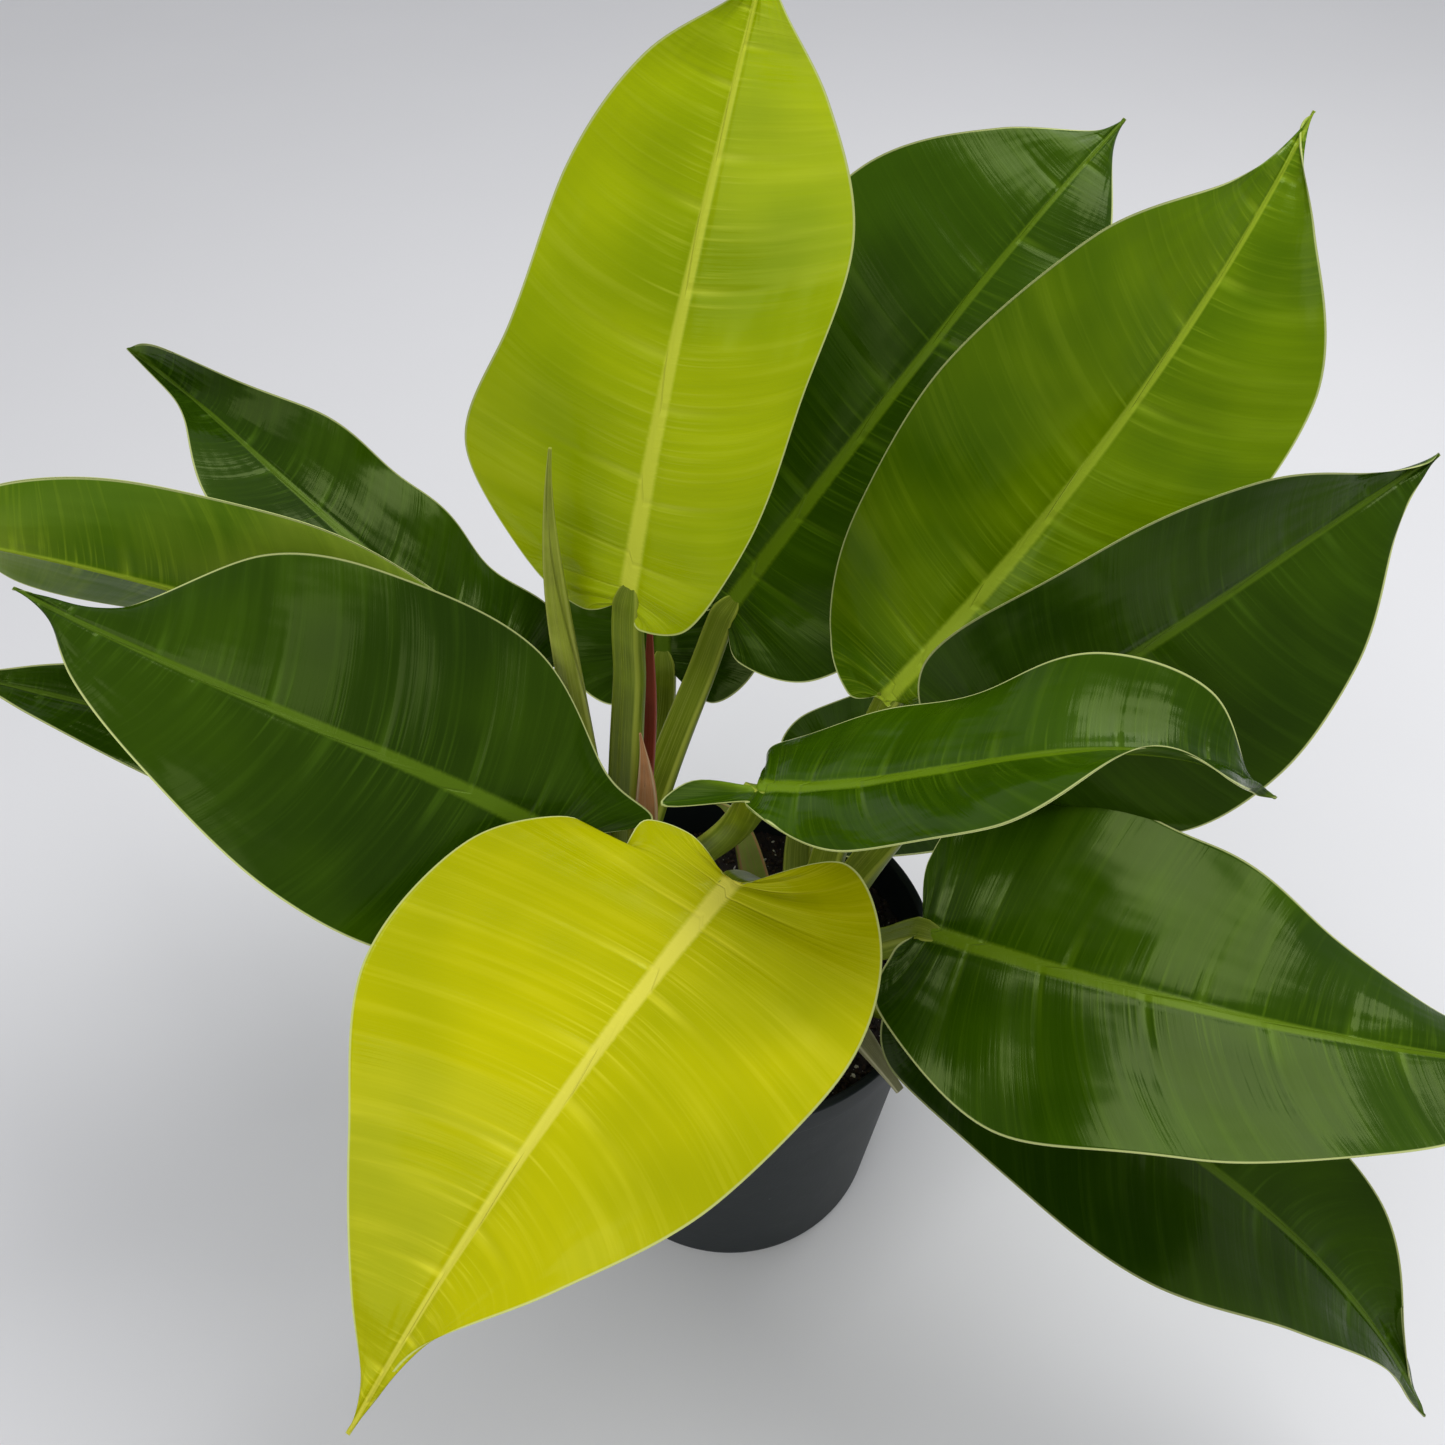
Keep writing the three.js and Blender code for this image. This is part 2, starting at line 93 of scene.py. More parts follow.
LEAVES = {
    "tall_lime": dict(
        crown="left_crown", tone="lime", foot=22,
        base=(-33, 20, 162), tip=(6, 80, 320), arch=(10, 8), sway=3,
        halves=(54, 47), full=0.8, shoulders=(1.08, 0.8),
        roll=(4, 20, 28), fold=(8, 9, 10), cup=2, wave=(2, 2, 0.1), lobes=(0.6, 0.4),
        wide=((0, -7, -8, 2, -7, -4, 0, 0, 0), (0, -8, -9, -7, -5, 5, 5, 4, 0)),
        lift=((0, -4, -6, 1, 0, 0, 2, 3, 0), (0, -1, -5, -1, 1, 0, 0, 1, 0)),
    ),
    "front_yellow": dict(
        crown="right_crown", tone="yellow", foot=18,
        base=(0, -48, 112), tip=(-100, -180, 50), arch=(11, 11), sway=0,
        halves=(66, 70), full=0.1, shoulders=(1, 0.85),
        roll=(2, -4, -12), fold=(4, 8, 16), cup=0, wave=(3, 2, 0.2), lobes=(1.2, 0.4),
        wide=((0, -5, -6, -2, -3, -8, -11, -2, 0), (0, -6, -12, 4, 9, 3, 1, -1, 0)),
        lift=((0, 2, 2, 1, 0, -2, -2, -1, 0), (0, -3, -6, 5, 3, -1, -2, -2, 0)),
        push=((1, 0.255, 0.022, 12, -10, 0),), joint=0.2,
    ),
    "right_lime": dict(
        crown="right_crown", tone="fresh", foot=21,
        base=(52, 31, 110), tip=(177, 122, 269), arch=(10, 5), sway=14,
        halves=(57, 60), full=0.8, shoulders=(0.7, 0.35),
        roll=(2, 84, 44), fold=(10, 5, 12), cup=2, wave=(2, 2, 0.4), lobes=(0.5, -1.2), joint=0.3,
        wide=((0, -4, -2, -2, 4, 1, -11, -4, 0), (0, -3, -23, -34, -14, -2, -10, -6, 0)),
        lift=((0, -1, -1, -1, -2, -3, -2, -2, 0), (0, -9, -20, -18, -1, 6, 1, -1, 0)),
    ),
    "back_right": dict(
        crown="left_crown", tone="green", foot=19,
        base=(-3, 70, 116), tip=(131, 167, 250), arch=(10, 13), sway=6,
        halves=(65, 56), full=0.8, shoulders=(0.9, 0.7),
        roll=(30, 30, 30), fold=(6, 6, 6), cup=0, wave=(2, 2, 0.0), lobes=(0.3, 0.6),
        wide=((0, -14, -24, -15, -4, 5, 1, -2, 0), (0, 0, 6, 5, 0, 0, -4, -2, 0)),
        lift=((0, -2, -5, -3, -1, 1, -1, -1, 0), (0, -1, -3, -1, -1, -2, -4, -3, 0)),
    ),
    "right_dark": dict(
        crown="right_crown", tone="dark", foot=15,
        base=(80, 5, 116), tip=(211, 44, 199), arch=(5, 11), sway=9,
        halves=(43, 64), full=0.6, shoulders=(0.5, 0.5),
        roll=(60, 80, 52), fold=(10, 16, 18), cup=0, wave=(2, 2, 0.3), lobes=(0.7, 0.3),
        wide=((0, 7, 13, 7, 2, -1, -7, -3, 0), (0, 5, 6, 7, -2, -5, -10, -2, 0)),
        lift=((0, 0, 0, 0, 0, 0, 0, 1, 0), (0, 0, 0, 1, -2, -3, -5, -1, 0)),
        push=((1, 0.25, 0.1, 0, -6, -18),),
    ),
    "right_centre": dict(
        crown="left_crown", tone="green", foot=14, arrive=(0.1, -0.4, 0.9),
        base=(7, -39, 145), tip=(151, -46, 150), arch=(1, 34), sway=5,
        halves=(44, 42), full=0.5, shoulders=(0.9, 1),
        roll=(-12, -20, -24), fold=(0, 10, 30), cup=-2, wave=(3, 2, 0.5), lobes=(0, 0),
        wide=((0, -4, -3, -4, -4, -3, -1, 0, 0), (0, -8, -20, -11, -3, -15, -3, -2, 0)),
        lift=((0, -3, -4, -3, 1, 8, 10, -2, 0), (0, 2, 4, -3, -7, -1, -7, -4, 0)),
        push=((1, 0.03, 0.03, -14, 0, 3), (1, 0.07, 0.03, -24, 2, -6)), joint=0.1,
    ),
    "lower_right": dict(
        crown="right_crown", tone="green", foot=11,
        base=(60, -43, 81), tip=(244, -88, 72), arch=(8, 7), sway=12,
        halves=(54, 57), full=0.25, shoulders=(1, 1),
        roll=(6, 14, 18), fold=(4, 6, 8), cup=0, wave=(3, 3, 0.2), lobes=(0.4, 0.2), joint=0.6,
        wide=((0, 1, 4, 8, 7, -1, -1, 8, 0), (0, -13, -15, 0, -2, 1, 6, -2, 0)),
        lift=((0, -1, -1, 1, -1, -6, -8, -4, 0), (0, 1, -2, -2, 2, 3, 4, 4, 0)),
    ),
    "lowest_right": dict(
        crown="right_crown", tone="dark", foot=6,
        base=(66, -40, 35), tip=(236, -140, -60), arch=(21, 31), sway=-4,
        halves=(52, 48), full=0.4, shoulders=(1, 1),
        roll=(0, 0, 0), fold=(4, 5, 6), cup=0, wave=(2, 2, 0.2), lobes=(-0.5, 0.5),
        wide=((0, -2, -20, -17, -16, -11, -12, -4, 0), (0, -10, -8, -2, 6, -4, -7, -1, 0)),
        lift=((0, 0, -4, 4, 13, 14, 3, -1, 0), (0, 2, 2, -1, -3, -2, 0, -2, 0)),
    ),
    "left_dark": dict(
        crown="left_crown", tone="dark", foot=15,
        base=(-52, -22, 98), tip=(-212, 12, 173), arch=(13, 4), sway=-6,
        halves=(60, 58), full=0.4, shoulders=(1, 0.4),
        roll=(-52, -30, -20), fold=(4, 6, 8), cup=0, wave=(3, 2, 0.2), lobes=(0.7, 1.3),
        wide=((0, -6, -5, -5, -5, -7, -4, -5, 0), (0, 9, -1, 2, -1, 4, -9, -1, 0)),
        lift=((0, 1, 3, 1, -1, -3, -4, -2, 0), (0, -3, -6, -3, -3, -2, -6, -3, 0)),
    ),
    "far_left_young": dict(
        crown="left_crown", tone="fresh", foot=20,
        base=(-82, 44, 98), tip=(-250, 36, 178), arch=(8, 8), sway=0,
        halves=(44, 36), full=0.8, shoulders=(0.8, 0.8),
        roll=(75, 75, 75), fold=(20, 20, 20), cup=2, wave=(1, 2, 0.2), lobes=(0, 0),
        wide=((0, -2, -19, -15, -10, -8, -5, -1, 0), (0, -5, -5, -2, 0, 6, 9, 5, 0)),
        lift=((0, 5, 3, 1, 2, 6, 10, 10, 0), (0, 4, 4, 2, 1, -2, -2, 5, 0)),
    ),
    "back_left": dict(
        crown="left_crown", tone="dark", foot=13,
        base=(-79, 90, 67), tip=(-214, 158, 159), arch=(9, 19), sway=-14,
        halves=(44, 34), full=0.5, shoulders=(1, 0.8),
        roll=(-5, -5, -5), fold=(4, 6, 8), cup=0, wave=(3, 3, 0.2), lobes=(0.1, 0.8), drip=(24, 2, -4),
        wide=((0, -8, -19, -16, -10, -1, -4, 1, 0), (0, 5, 6, 0, 2, 3, -2, -1, 0)),
        lift=((0, 1, 2, 3, 3, 1, 2, 1, 0), (0, 0, -1, -1, 3, 7, 11, 11, 0)),
    ),
    "low_left": dict(
        crown="left_crown", tone="dark", foot=8,
        base=(-84, 30, 42), tip=(-258, 30, 124), arch=(6, 6), sway=0,
        halves=(32, 34), full=0.4, shoulders=(1, 1),
        roll=(-10, -10, -10), fold=(6, 6, 6), cup=0, wave=(2, 2, 0.2),
    ),
    "back_centre": dict(
        crown="left_crown", tone="dark", foot=10,
        base=(-26, 82, 78), tip=(-30, 225, 136), arch=(16, 16), sway=0,
        halves=(44, 44), full=0.5, shoulders=(1, 1),
        roll=(0, 0, 0), fold=(4, 4, 4), cup=0, wave=(2, 2, 0.2),
    ),
    "low_back_right": dict(
        crown="right_crown", tone="dark", foot=7,
        base=(36, 58, 42), tip=(162, 84, 26), arch=(12, 14), sway=0,
        halves=(38, 50), full=0.2, shoulders=(1, 1),
        roll=(0, 0, 0), fold=(4, 4, 4), cup=0, wave=(2, 2, 0.2),
    ),
}

# The rolled new leaf and the papery sheaths that the leaves grew from: a path, its radii, how
# much flatter than round it is, and which way its flat face looks.
SHOOTS = {
    "rolled_leaf": dict(
        finish="rolled_leaf", slot="new_shoot", flat=0.0, faces=(0, -1, 0),
        path=((-46, 12, 18), (-47, 18, 95), (-60, 21, 166), (-51, 17, 222)), radii=(5, 4.6, 3.8, 0.5),
    ),
    "tall_sheath": dict(
        finish="maroon_sheath", slot="maroon_sheath", flat=0.4, faces=(0, -1, 0),
        path=((-38, 12, 18), (-31, 22, 70), (-28, 30, 110), (-27, 36, 138)), radii=(4, 3.6, 3.2, 1.0),
    ),
    "pointed_sheath": dict(
        finish="dry_sheath", slot="dry_sheath", flat=0.5, faces=(0, -1, 0),
        path=((-38, 8, 16), (-30, 6, 60), (-27, 6, 90), (-30, 9, 117)), radii=(5, 4.5, 3.6, 0.4),
    ),
    "hooked_sheath": dict(
        finish="hooked_sheath", slot="new_shoot", flat=0.5, faces=(0.3, -1, 0),
        path=((18, -8, 12), (6, -4, 50), (8, 4, 88), (-7, 8, 84)), radii=(6, 5.4, 3.4, 0.4),
    ),
    "low_sheath": dict(
        finish="pale_sheath", slot="dry_sheath", flat=0.5, faces=(0, 0, 1),
        path=((28, -12, 6), (36, -30, 24), (44, -48, 28), (58, -62, 14)), radii=(4, 4.4, 4, 1.6),
    ),
    "rim_sheath": dict(
        finish="petiole", slot="petiole", flat=0.5, faces=(0, 0, 1),
        path=((20, -14, 4), (22, -34, 14), (16, -52, 12), (-14, -60, 4)), radii=(5, 5, 4, 0.8),
    ),
}

# Half a flat blade's margin, as (x in half widths, y in blade lengths), for a heart and an oblong.
HEART = (
    (0.05, 0), (0.5, -0.1), (0.92, 0), (1, 0.2), (0.86, 0.45), (0.55, 0.68), (0.23, 0.86),
    (0.05, 0.96), (0.01, 1),
)
OBLONG = (
    (0.05, 0), (0.38, -0.07), (0.78, 0.02), (0.97, 0.22), (1, 0.45), (0.85, 0.7), (0.5, 0.88),
    (0.1, 0.975), (0.01, 1),
)
SHOULDER_REACH = (0, 1, 0.7, 0.2)
LEVEL = ((0,) * 9, (0,) * 9)
# How a blade is laid out between its midrib and its margin.
VEIN_LAG = 1.5  # how late along the midrib the side veins leave it
VEIN_LEAN = 0.55  # how far out a side vein has come where it bends
VEIN_FOLLOW = 0.2  # how much of its way forward it has gone by there
MAIN_VEINS = 10
CORNER_PULL = 1.33  # how far a curve's corners stand out for each unit that the curve itself does
LEFT_RIPPLE = 0.37  # how far the left margin's ripple lags behind the right one, in turns
DRIP_FROM = 0.87  # the share of the blade's length where its drawn-out tip starts
FIRST_ROW, LAST_ROW = 0.006, 0.998
RIB_COLUMNS, FACE_COLUMNS, RIB_SHARE = 9, 14, 0.24
MARGIN_COLUMNS = (0.95, 0.98, 1.0)
RIB_SLIMMING = 0.82  # how much of the midrib's width is gone at the tip
KEEL_SLIMMING = 0.85  # and of its keel
GROOVE_DEPTH = 0.5 * MM
GROOVE_PLACE, GROOVE_WIDTH = 1.15, 0.5  # in half widths of the midrib
MARGIN_THINNING = 0.55  # how much thinner a blade is at its margin

# How a petiole meets its crown and its blade.
CROWN_REACH = 6.6 * MM
JOINT_SINK = 1.5 * MM  # how much deeper than its own radius a petiole comes in under the blade
JOINT_RISE = 0.55  # how much of its radius it then rises into the midrib
JOINT_FROM = 0.72  # the share of its length where that rise starts
JOINT_LENGTH = 7 * MM
JOINT_TAPER = (0.95, 0.85, 0.72, 0.5)
PETIOLE_STOUTNESS = 1.5
PETIOLE_POINTS, SHOOT_POINTS, SHOOT_SIDES = 44, 48, 28

# The lights: name, place, what each looks at, size, and its share of the window's power.
LIGHTS = (
    ("window_light", (0.5, 0.32, 1.3), (0.15, 0.1, 0), 0.8, 1.0),
    ("front_light", (-0.6, -0.9, 1.3), (0, 0, 0.25), 1.0, 0.6),
)
SKY = (0.96, 0.97, 1.0, 1)
CAMERA_PLACE = (-0.003, -0.310, 0.561)
CAMERA_TILT = math.radians(45)
CAMERA_SENSOR, CAMERA_LENS = 36.0, 34.56
FLOOR_REACH = 6.0

# A crown's outline, as radii and heights in millimetres, and the sizes of the mix's lumps as
# pairs of how many there are to the metre and how much each counts.
CROWN_OUTLINE = (
    (0, -22), (9, -22), (11, -11), (10.4, 4), (11.2, 9), (10.2, 14), (9.4, 20), (6, 24.4), (0, 26),
)
LUMPS = ((90, 1.0), (260, 0.6), (600, 0.3))
MIX_RINGS, ROUND_SEGMENTS, CROWN_SEGMENTS = 64, 160, 64
POT_EASING, CROWN_EASING = 1.2 * MM, 1.5 * MM  # how round the corners are
SHARP_ANGLE = math.radians(35)
BARK_DENSITY, PERLITE_DENSITY = 150000.0, 16000.0  # pieces to the square metre

# Leaf tones as display colours: upper face, its darker parts, midrib, side veins and underside.
TONES = {
    "yellow": ((192, 189, 0), (166, 169, 0), (226, 218, 84), (222, 216, 50), (192, 192, 44)),
    "lime": ((170, 186, 4), (136, 158, 0), (208, 214, 66), (190, 202, 52), (150, 164, 44)),
    "fresh": ((108, 136, 0), (66, 98, 0), (160, 182, 44), (136, 162, 30), (116, 138, 34)),
    "green": ((50, 80, 0), (31, 57, 0), (98, 126, 14), (80, 110, 14), (88, 112, 30)),
    "dark": ((46, 73, 1), (28, 52, 1), (84, 112, 18), (66, 96, 16), (72, 96, 32)),
}
LEAF_SLOTS = {
    "yellow": "yellow_leaf", "lime": "lime_leaf", "fresh": "fresh_leaf",
    "green": "green_leaf", "dark": "dark_leaf",
}


def display(red, green, blue):
    """The scene-linear colour of a display colour given from 0 to 255."""
    parts = [c / 255 for c in (red, green, blue)]
    return [c / 12.92 if c <= 0.04045 else ((c + 0.055) / 1.055) ** 2.4 for c in parts] + [1.0]


# ---- Sizes and colours that a user can change -----------------------------------------------


def length(name, default, description):
    return FloatProperty(name=name, default=default, description=description, unit="LENGTH")


def share(name, default, description):
    return FloatProperty(name=name, default=default, description=description, subtype="FACTOR")


def colour(name, default, description):
    return FloatVectorProperty(
        name=name, size=4, default=display(*default), description=description, subtype="COLOR"
    )


class PhilodendronLeafSizes(bpy.types.PropertyGroup):
    """How thick the blades are and how their ribs stand out."""

    thickness: length("Thickness", 0.7 * MM, "Thickness of a blade between its veins")
    keel: length("Keel", 3.0 * MM, "How far the midrib stands below the blade at its base")
    rib_width: length("Rib Width", 2.9 * MM, "Half the width of the midrib at its base")
    quilting: length("Quilting", 0.5 * MM, "How far the blade swells between its main side veins")
    rows: IntProperty(name="Rows", default=161, description="Rows of points along each half")


class PhilodendronStalkSizes(bpy.types.PropertyGroup):
    """The petioles that carry the blades."""

    top_radius: length("Top Radius", 3.4 * MM, "Radius of a petiole under its blade")
    foot_radius: length("Foot Radius", 4.8 * MM, "Radius of a petiole where it leaves the crown")
    channel: share("Channel", 0.35, "How much of a petiole's upper side is cut flat")
    sides: IntProperty(name="Sides", default=28, description="Points around a petiole")


class PhilodendronPotSizes(bpy.types.PropertyGroup):
    """The moulded nursery pot."""

    base_radius: length("Base Radius", 60 * MM, "Outside radius at the ground")
    wall: length("Wall", 1.8 * MM, "Thickness of the wall")
    floor: length("Floor", 2.4 * MM, "Thickness of the floor")
    foot_width: length("Foot Width", 11 * MM, "Width of the ring that stands on the ground")
    foot_rise: length("Foot Rise", 4 * MM, "How far the floor is lifted inside that ring")
    centre_radius: length("Centre Radius", 18 * MM, "Radius of the flat disc under the middle")
    band_height: length("Band Height", 14 * MM, "Height of the thicker band under the rim")
    band_proud: length("Band Proud", 1.4 * MM, "How far that band stands out")
    drain_radius: length("Drain Radius", 4.5 * MM, "Radius of a drainage hole")
    drains: IntProperty(name="Drains", default=8, description="Number of drainage holes")


class PhilodendronMixSizes(bpy.types.PropertyGroup):
    """The potting mix and what lies on it."""

    mound: length("Mound", 4 * MM, "How much higher the mix is in the middle")
    lumps: length("Lumps", 1.6 * MM, "Height of the mix's lumps")
    crumb: length("Crumb", 2.2 * MM, "Size of a bark crumb")
    perlite: length("Perlite", 1.5 * MM, "Size of a perlite grain")
    seed: IntProperty(name="Seed", default=7, description="Which of the random scatters is used")


class PhilodendronColours(bpy.types.PropertyGroup):
    """Colours of all but the leaves."""

    margin: colour("Margin", (206, 214, 140), "Pale line along a blade's margin")
    petiole: colour("Petiole", (104, 122, 14), "Petioles")
    petiole_edge: colour("Petiole Edge", (168, 178, 66), "Paler edges of a petiole")
    shoot: colour("Shoot", (148, 160, 52), "Rolled new leaf")
    maroon: colour("Maroon", (124, 42, 30), "Young sheath")
    tan: colour("Tan", (182, 124, 78), "Dry sheath")
    crown: colour("Crown", (94, 100, 46), "Short stem that the leaves leave")
    pot: colour("Pot", (18, 27, 29), "Pot")
    mix: colour("Mix", (34, 26, 24), "Potting mix")
    bark: colour("Bark", (70, 50, 38), "Bark crumbs")
    perlite: colour("Perlite", (206, 202, 194), "Perlite grains")


class PhilodendronStage(bpy.types.PropertyGroup):
    """Floor and light."""

    floor: colour("Floor", (232, 232, 234), "Floor")
    window: FloatProperty(name="Window", default=9.5, description="Power of the wide window light, in watts")
    fill: FloatProperty(name="Fill", default=0.52, description="Strength of the even light from all around")


class PhilodendronSettings(bpy.types.PropertyGroup):
    """All that a user can change."""

    leaf: PointerProperty(type=PhilodendronLeafSizes)
    stalk: PointerProperty(type=PhilodendronStalkSizes)
    pot: PointerProperty(type=PhilodendronPotSizes)
    mix: PointerProperty(type=PhilodendronMixSizes)
    colours: PointerProperty(type=PhilodendronColours)
    stage: PointerProperty(type=PhilodendronStage)


# ---- Curves and blades ----------------------------------------------------------------------


def through(points, t):
    """Points at shares t of the smooth curve through evenly spaced points."""
    points = np.asarray(points, float)
    last = len(points) - 1
    along = np.clip(np.asarray(t, float), 0, 1) * last
    i = np.minimum(along.astype(int), last)
    w = (along - i)[..., None]
    before = points[np.maximum(i - 1, 0)]
    here = points[i]
    after = points[np.minimum(i + 1, last)]
    later = points[np.minimum(i + 2, last)]
    leave, arrive = (after - before) / 2, (later - here) / 2
    return (
        (2 * here - 2 * after + leave + arrive) * w**3
        + (3 * after - 3 * here - 2 * leave - arrive) * w**2
        + leave * w
        + here
    )


def bezier(corners, t):
    """Points at t on the Bezier curve with four corners."""
    a, b, c, d = (np.asarray(corner, float) for corner in corners)
    t = np.asarray(t, float)[..., None]
    r = 1 - t
    return a * r**3 + 3 * b * r**2 * t + 3 * c * r * t**2 + d * t**3


def bezier_direction(corners, t):
    """Unit directions at t on the Bezier curve with four corners."""
    a, b, c, d = (np.asarray(corner, float) for corner in corners)
    t = np.asarray(t, float)[..., None]
    r = 1 - t
    return unit((b - a) * r**2 + 2 * (c - b) * r * t + (d - c) * t**2)


def unit(vectors):
    return vectors / np.linalg.norm(vectors, axis=-1, keepdims=True)


def square_to(vectors, directions):
    """The unit parts of vectors that are square to unit directions."""
    vectors = np.asarray(vectors, float)
    return unit(vectors - directions * (vectors * directions).sum(-1, keepdims=True))


def three_way(values, t):
    """A quadratic blend of the values at the base, for the middle and at the tip."""
    base, middle, tip = values
    return (1 - t) ** 2 * base + 2 * t * (1 - t) * middle + t**2 * tip


def place(point):
    """A point given in millimetres from the middle of the mix's surface, in the frame."""
    return np.array(point, float) * MM + UP * MIX_LEVEL


def smoother(x):
    return x**3 * (x * (6 * x - 15) + 10)


class LeafForm:
    """Where each point of a leaf's blade lies. A point is given by its half (-1 left, 1 right), by s,
    which runs along the margin from base to tip, and by v, which runs from midrib to margin."""

    def __init__(self, leaf):
        self.leaf = leaf
        self.base, tip = place(leaf["base"]), place(leaf["tip"])
        chord = tip - self.base
        along = unit(chord)
        self.normal = square_to(UP, along)
        bow = np.cross(along, self.normal) * leaf["sway"] * CORNER_PULL * MM
        near, far = (rise * CORNER_PULL * MM for rise in leaf["arch"])
        self.midrib = (
            self.base,
            self.base + chord / 3 + self.normal * near + bow,
            self.base + chord * 2 / 3 + self.normal * far + bow,
            tip,
        )
        line = bezier(self.midrib, np.linspace(0, 1, 60))
        self.length = np.linalg.norm(np.diff(line, axis=0), axis=1).sum()
        self.start, ahead = bezier_direction(self.midrib, np.array([0.0, 1.0]))
        out, rise, aside = (step * MM for step in leaf.get("drip", (5, 0, 0)))
        self.tip_pull = ahead * out + self.normal * rise + np.cross(ahead, self.normal) * aside
        self.up = self.at(1, np.array(0.0), np.array(0.0))["up"]

    def outline(self, side, s):
        heart, oblong = np.array(HEART, float), np.array(OBLONG, float)
        points = heart + (oblong - heart) * self.leaf["full"]
        reach = np.zeros(len(points))
        reach[: len(SHOULDER_REACH)] = SHOULDER_REACH
        points[:, 0] *= self.leaf["shoulders"][side > 0] ** reach
        lobe = self.leaf.get("lobes", (1, 1))[side > 0]
        points[:, 1] = np.where(points[:, 1] < 0, points[:, 1] * lobe, points[:, 1])
        return through(points, s)

    def margin_shift(self, side, s, which):
        """How far the margin stands from the usual outline, in metres."""
        values = self.leaf.get(which, LEVEL)[side > 0]
        return through([(value * MM,) for value in values], s)[..., 0]

    def at(self, side, s, v):
        leaf = self.leaf
        margin = self.outline(side, s)
        mx, my = margin[..., 0], margin[..., 1]
        root = smoother(s) ** VEIN_LAG
        bend_y = root + VEIN_FOLLOW * (my - root)
        x = 2 * v * (1 - v) * VEIN_LEAN * mx + v**2 * mx
        y = (1 - v) ** 2 * root + 2 * v * (1 - v) * bend_y + v**2 * my
        t = np.clip(y, 0, 1)
        tangent = bezier_direction(self.midrib, t)
        level = square_to(np.broadcast_to(self.normal, tangent.shape), tangent)
        roll = np.radians(three_way(leaf["roll"], t))[..., None]
        up = level * np.cos(roll) + np.cross(tangent, level) * np.sin(roll)
        right = np.cross(tangent, up)
        half = leaf["halves"][side > 0] * MM
        across = x * half
        height, number, phase = leaf["wave"]
        ripple = np.sin(2 * np.pi * (number * y + phase + (0 if side > 0 else LEFT_RIPPLE)))
        fold = np.radians(three_way(leaf["fold"], t))
        lift = across * np.sin(fold) + x**2 * (leaf["cup"] + height * ripple) * MM
        point = bezier(self.midrib, t) + tangent * (np.minimum(y, 0) * self.length)[..., None]
        wide = self.margin_shift(side, s, "wide") * v**2
        lift = lift + self.margin_shift(side, s, "lift") * v**2
        reach = mx * half + self.margin_shift(side, s, "wide")
        for one, where, spread, ahead, out, rise in leaf.get("push", ()):
            if one == side:
                near = np.exp(-(((s - where) / spread) ** 2))
                pushed = tangent * ahead + right * (side * out) + up * rise
                point = point + pushed * MM * (near * v**3)[..., None]
                reach = reach + near * abs(ahead) * MM
        drip = np.clip((t - DRIP_FROM) / (1 - DRIP_FROM), 0, 1)[..., None]
        point = point + self.tip_pull * drip**3
        point = point + right * (side * (across * np.cos(fold) + wide))[..., None] + up * lift[..., None]
        return {"point": point, "up": up, "across": across + wide, "t": t, "reach": reach}


def blade_grid(form, sizes):
    """The blade's rows and columns: places on top and underneath, and what its finish reads."""
    rows = sizes.rows
    s = np.linspace(FIRST_ROW, LAST_ROW, rows)[:, None]
    by_rib = np.linspace(0, RIB_SHARE, RIB_COLUMNS)[:-1]
    v = np.concatenate([by_rib, np.linspace(RIB_SHARE, 0.9, FACE_COLUMNS), MARGIN_COLUMNS])[None, :]
    sides = {}
    for side in (-1, 1):
        at = form.at(side, *np.broadcast_arrays(s, v))
        vein = MAIN_VEINS * s + 0.12 * np.sin(9 * s + 2 * side) + (0.4 if side > 0 else 0)
        rib_half = sizes.rib_width * (1 - RIB_SLIMMING * at["t"] ** 0.8)
        rib = at["across"] / rib_half
        fade = np.sin(np.pi * np.clip(v * 1.08, 0, 1)) ** 0.8
        fade = fade * np.clip(6 * s, 0, 1) * np.clip(5 - 5 * s, 0, 1)
        swell = sizes.quilting * fade * np.cos(2 * np.pi * vein)
        groove = -GROOVE_DEPTH * np.exp(-((rib - GROOVE_PLACE) / GROOVE_WIDTH) ** 2)
        groove = groove * np.clip(at["reach"] / rib_half - 1.6, 0, 1)
        top = at["point"] + at["up"] * (swell + groove)[..., None]
        thick = sizes.thickness * (1 - MARGIN_THINNING * v**8)
        keel = sizes.keel * (1 - KEEL_SLIMMING * at["t"] ** 0.7) * np.exp(-(rib / 1.1) ** 2)
        keel = keel * np.clip(at["reach"] / rib_half / 3, 0, 1)
        under = at["point"] + at["up"] * (swell * 0.8 - thick - keel)[..., None]
        edge = np.linalg.norm(at["point"] - at["point"][:, -1:], axis=-1) / MM
        sides[side] = {
            "top": top, "under": under, "vein": np.broadcast_to(vein, rib.shape),
            "across": np.broadcast_to(side * v, rib.shape), "rib": rib, "edge": edge, "along": at["t"],
        }
    return {
        key: np.concatenate([sides[-1][key][:, :0:-1], sides[1][key]], axis=1) for key in sides[1]
    }


def mesh_object(name, points, faces, materials, face_slots=None):
    """A new smooth-shaded object with its place in its mesh."""
    mesh = bpy.data.meshes.new(name)
    mesh.from_pydata([tuple(p) for p in points], [], faces)
    for material in materials:
        mesh.materials.append(material)
    if face_slots is not None:
        mesh.polygons.foreach_set("material_index", face_slots)
    mesh.polygons.foreach_set("use_smooth", [True] * len(mesh.polygons))
    mesh.update()
    made = bpy.data.objects.new(name, mesh)
    bpy.context.scene.collection.objects.link(made)
    return made


def store(made, name, values):
    """Stores one number for each point of a mesh, which its finish reads."""
    attribute = made.data.attributes.new(name, "FLOAT", "POINT")
    attribute.data.foreach_set("value", np.asarray(values, np.float32).ravel())


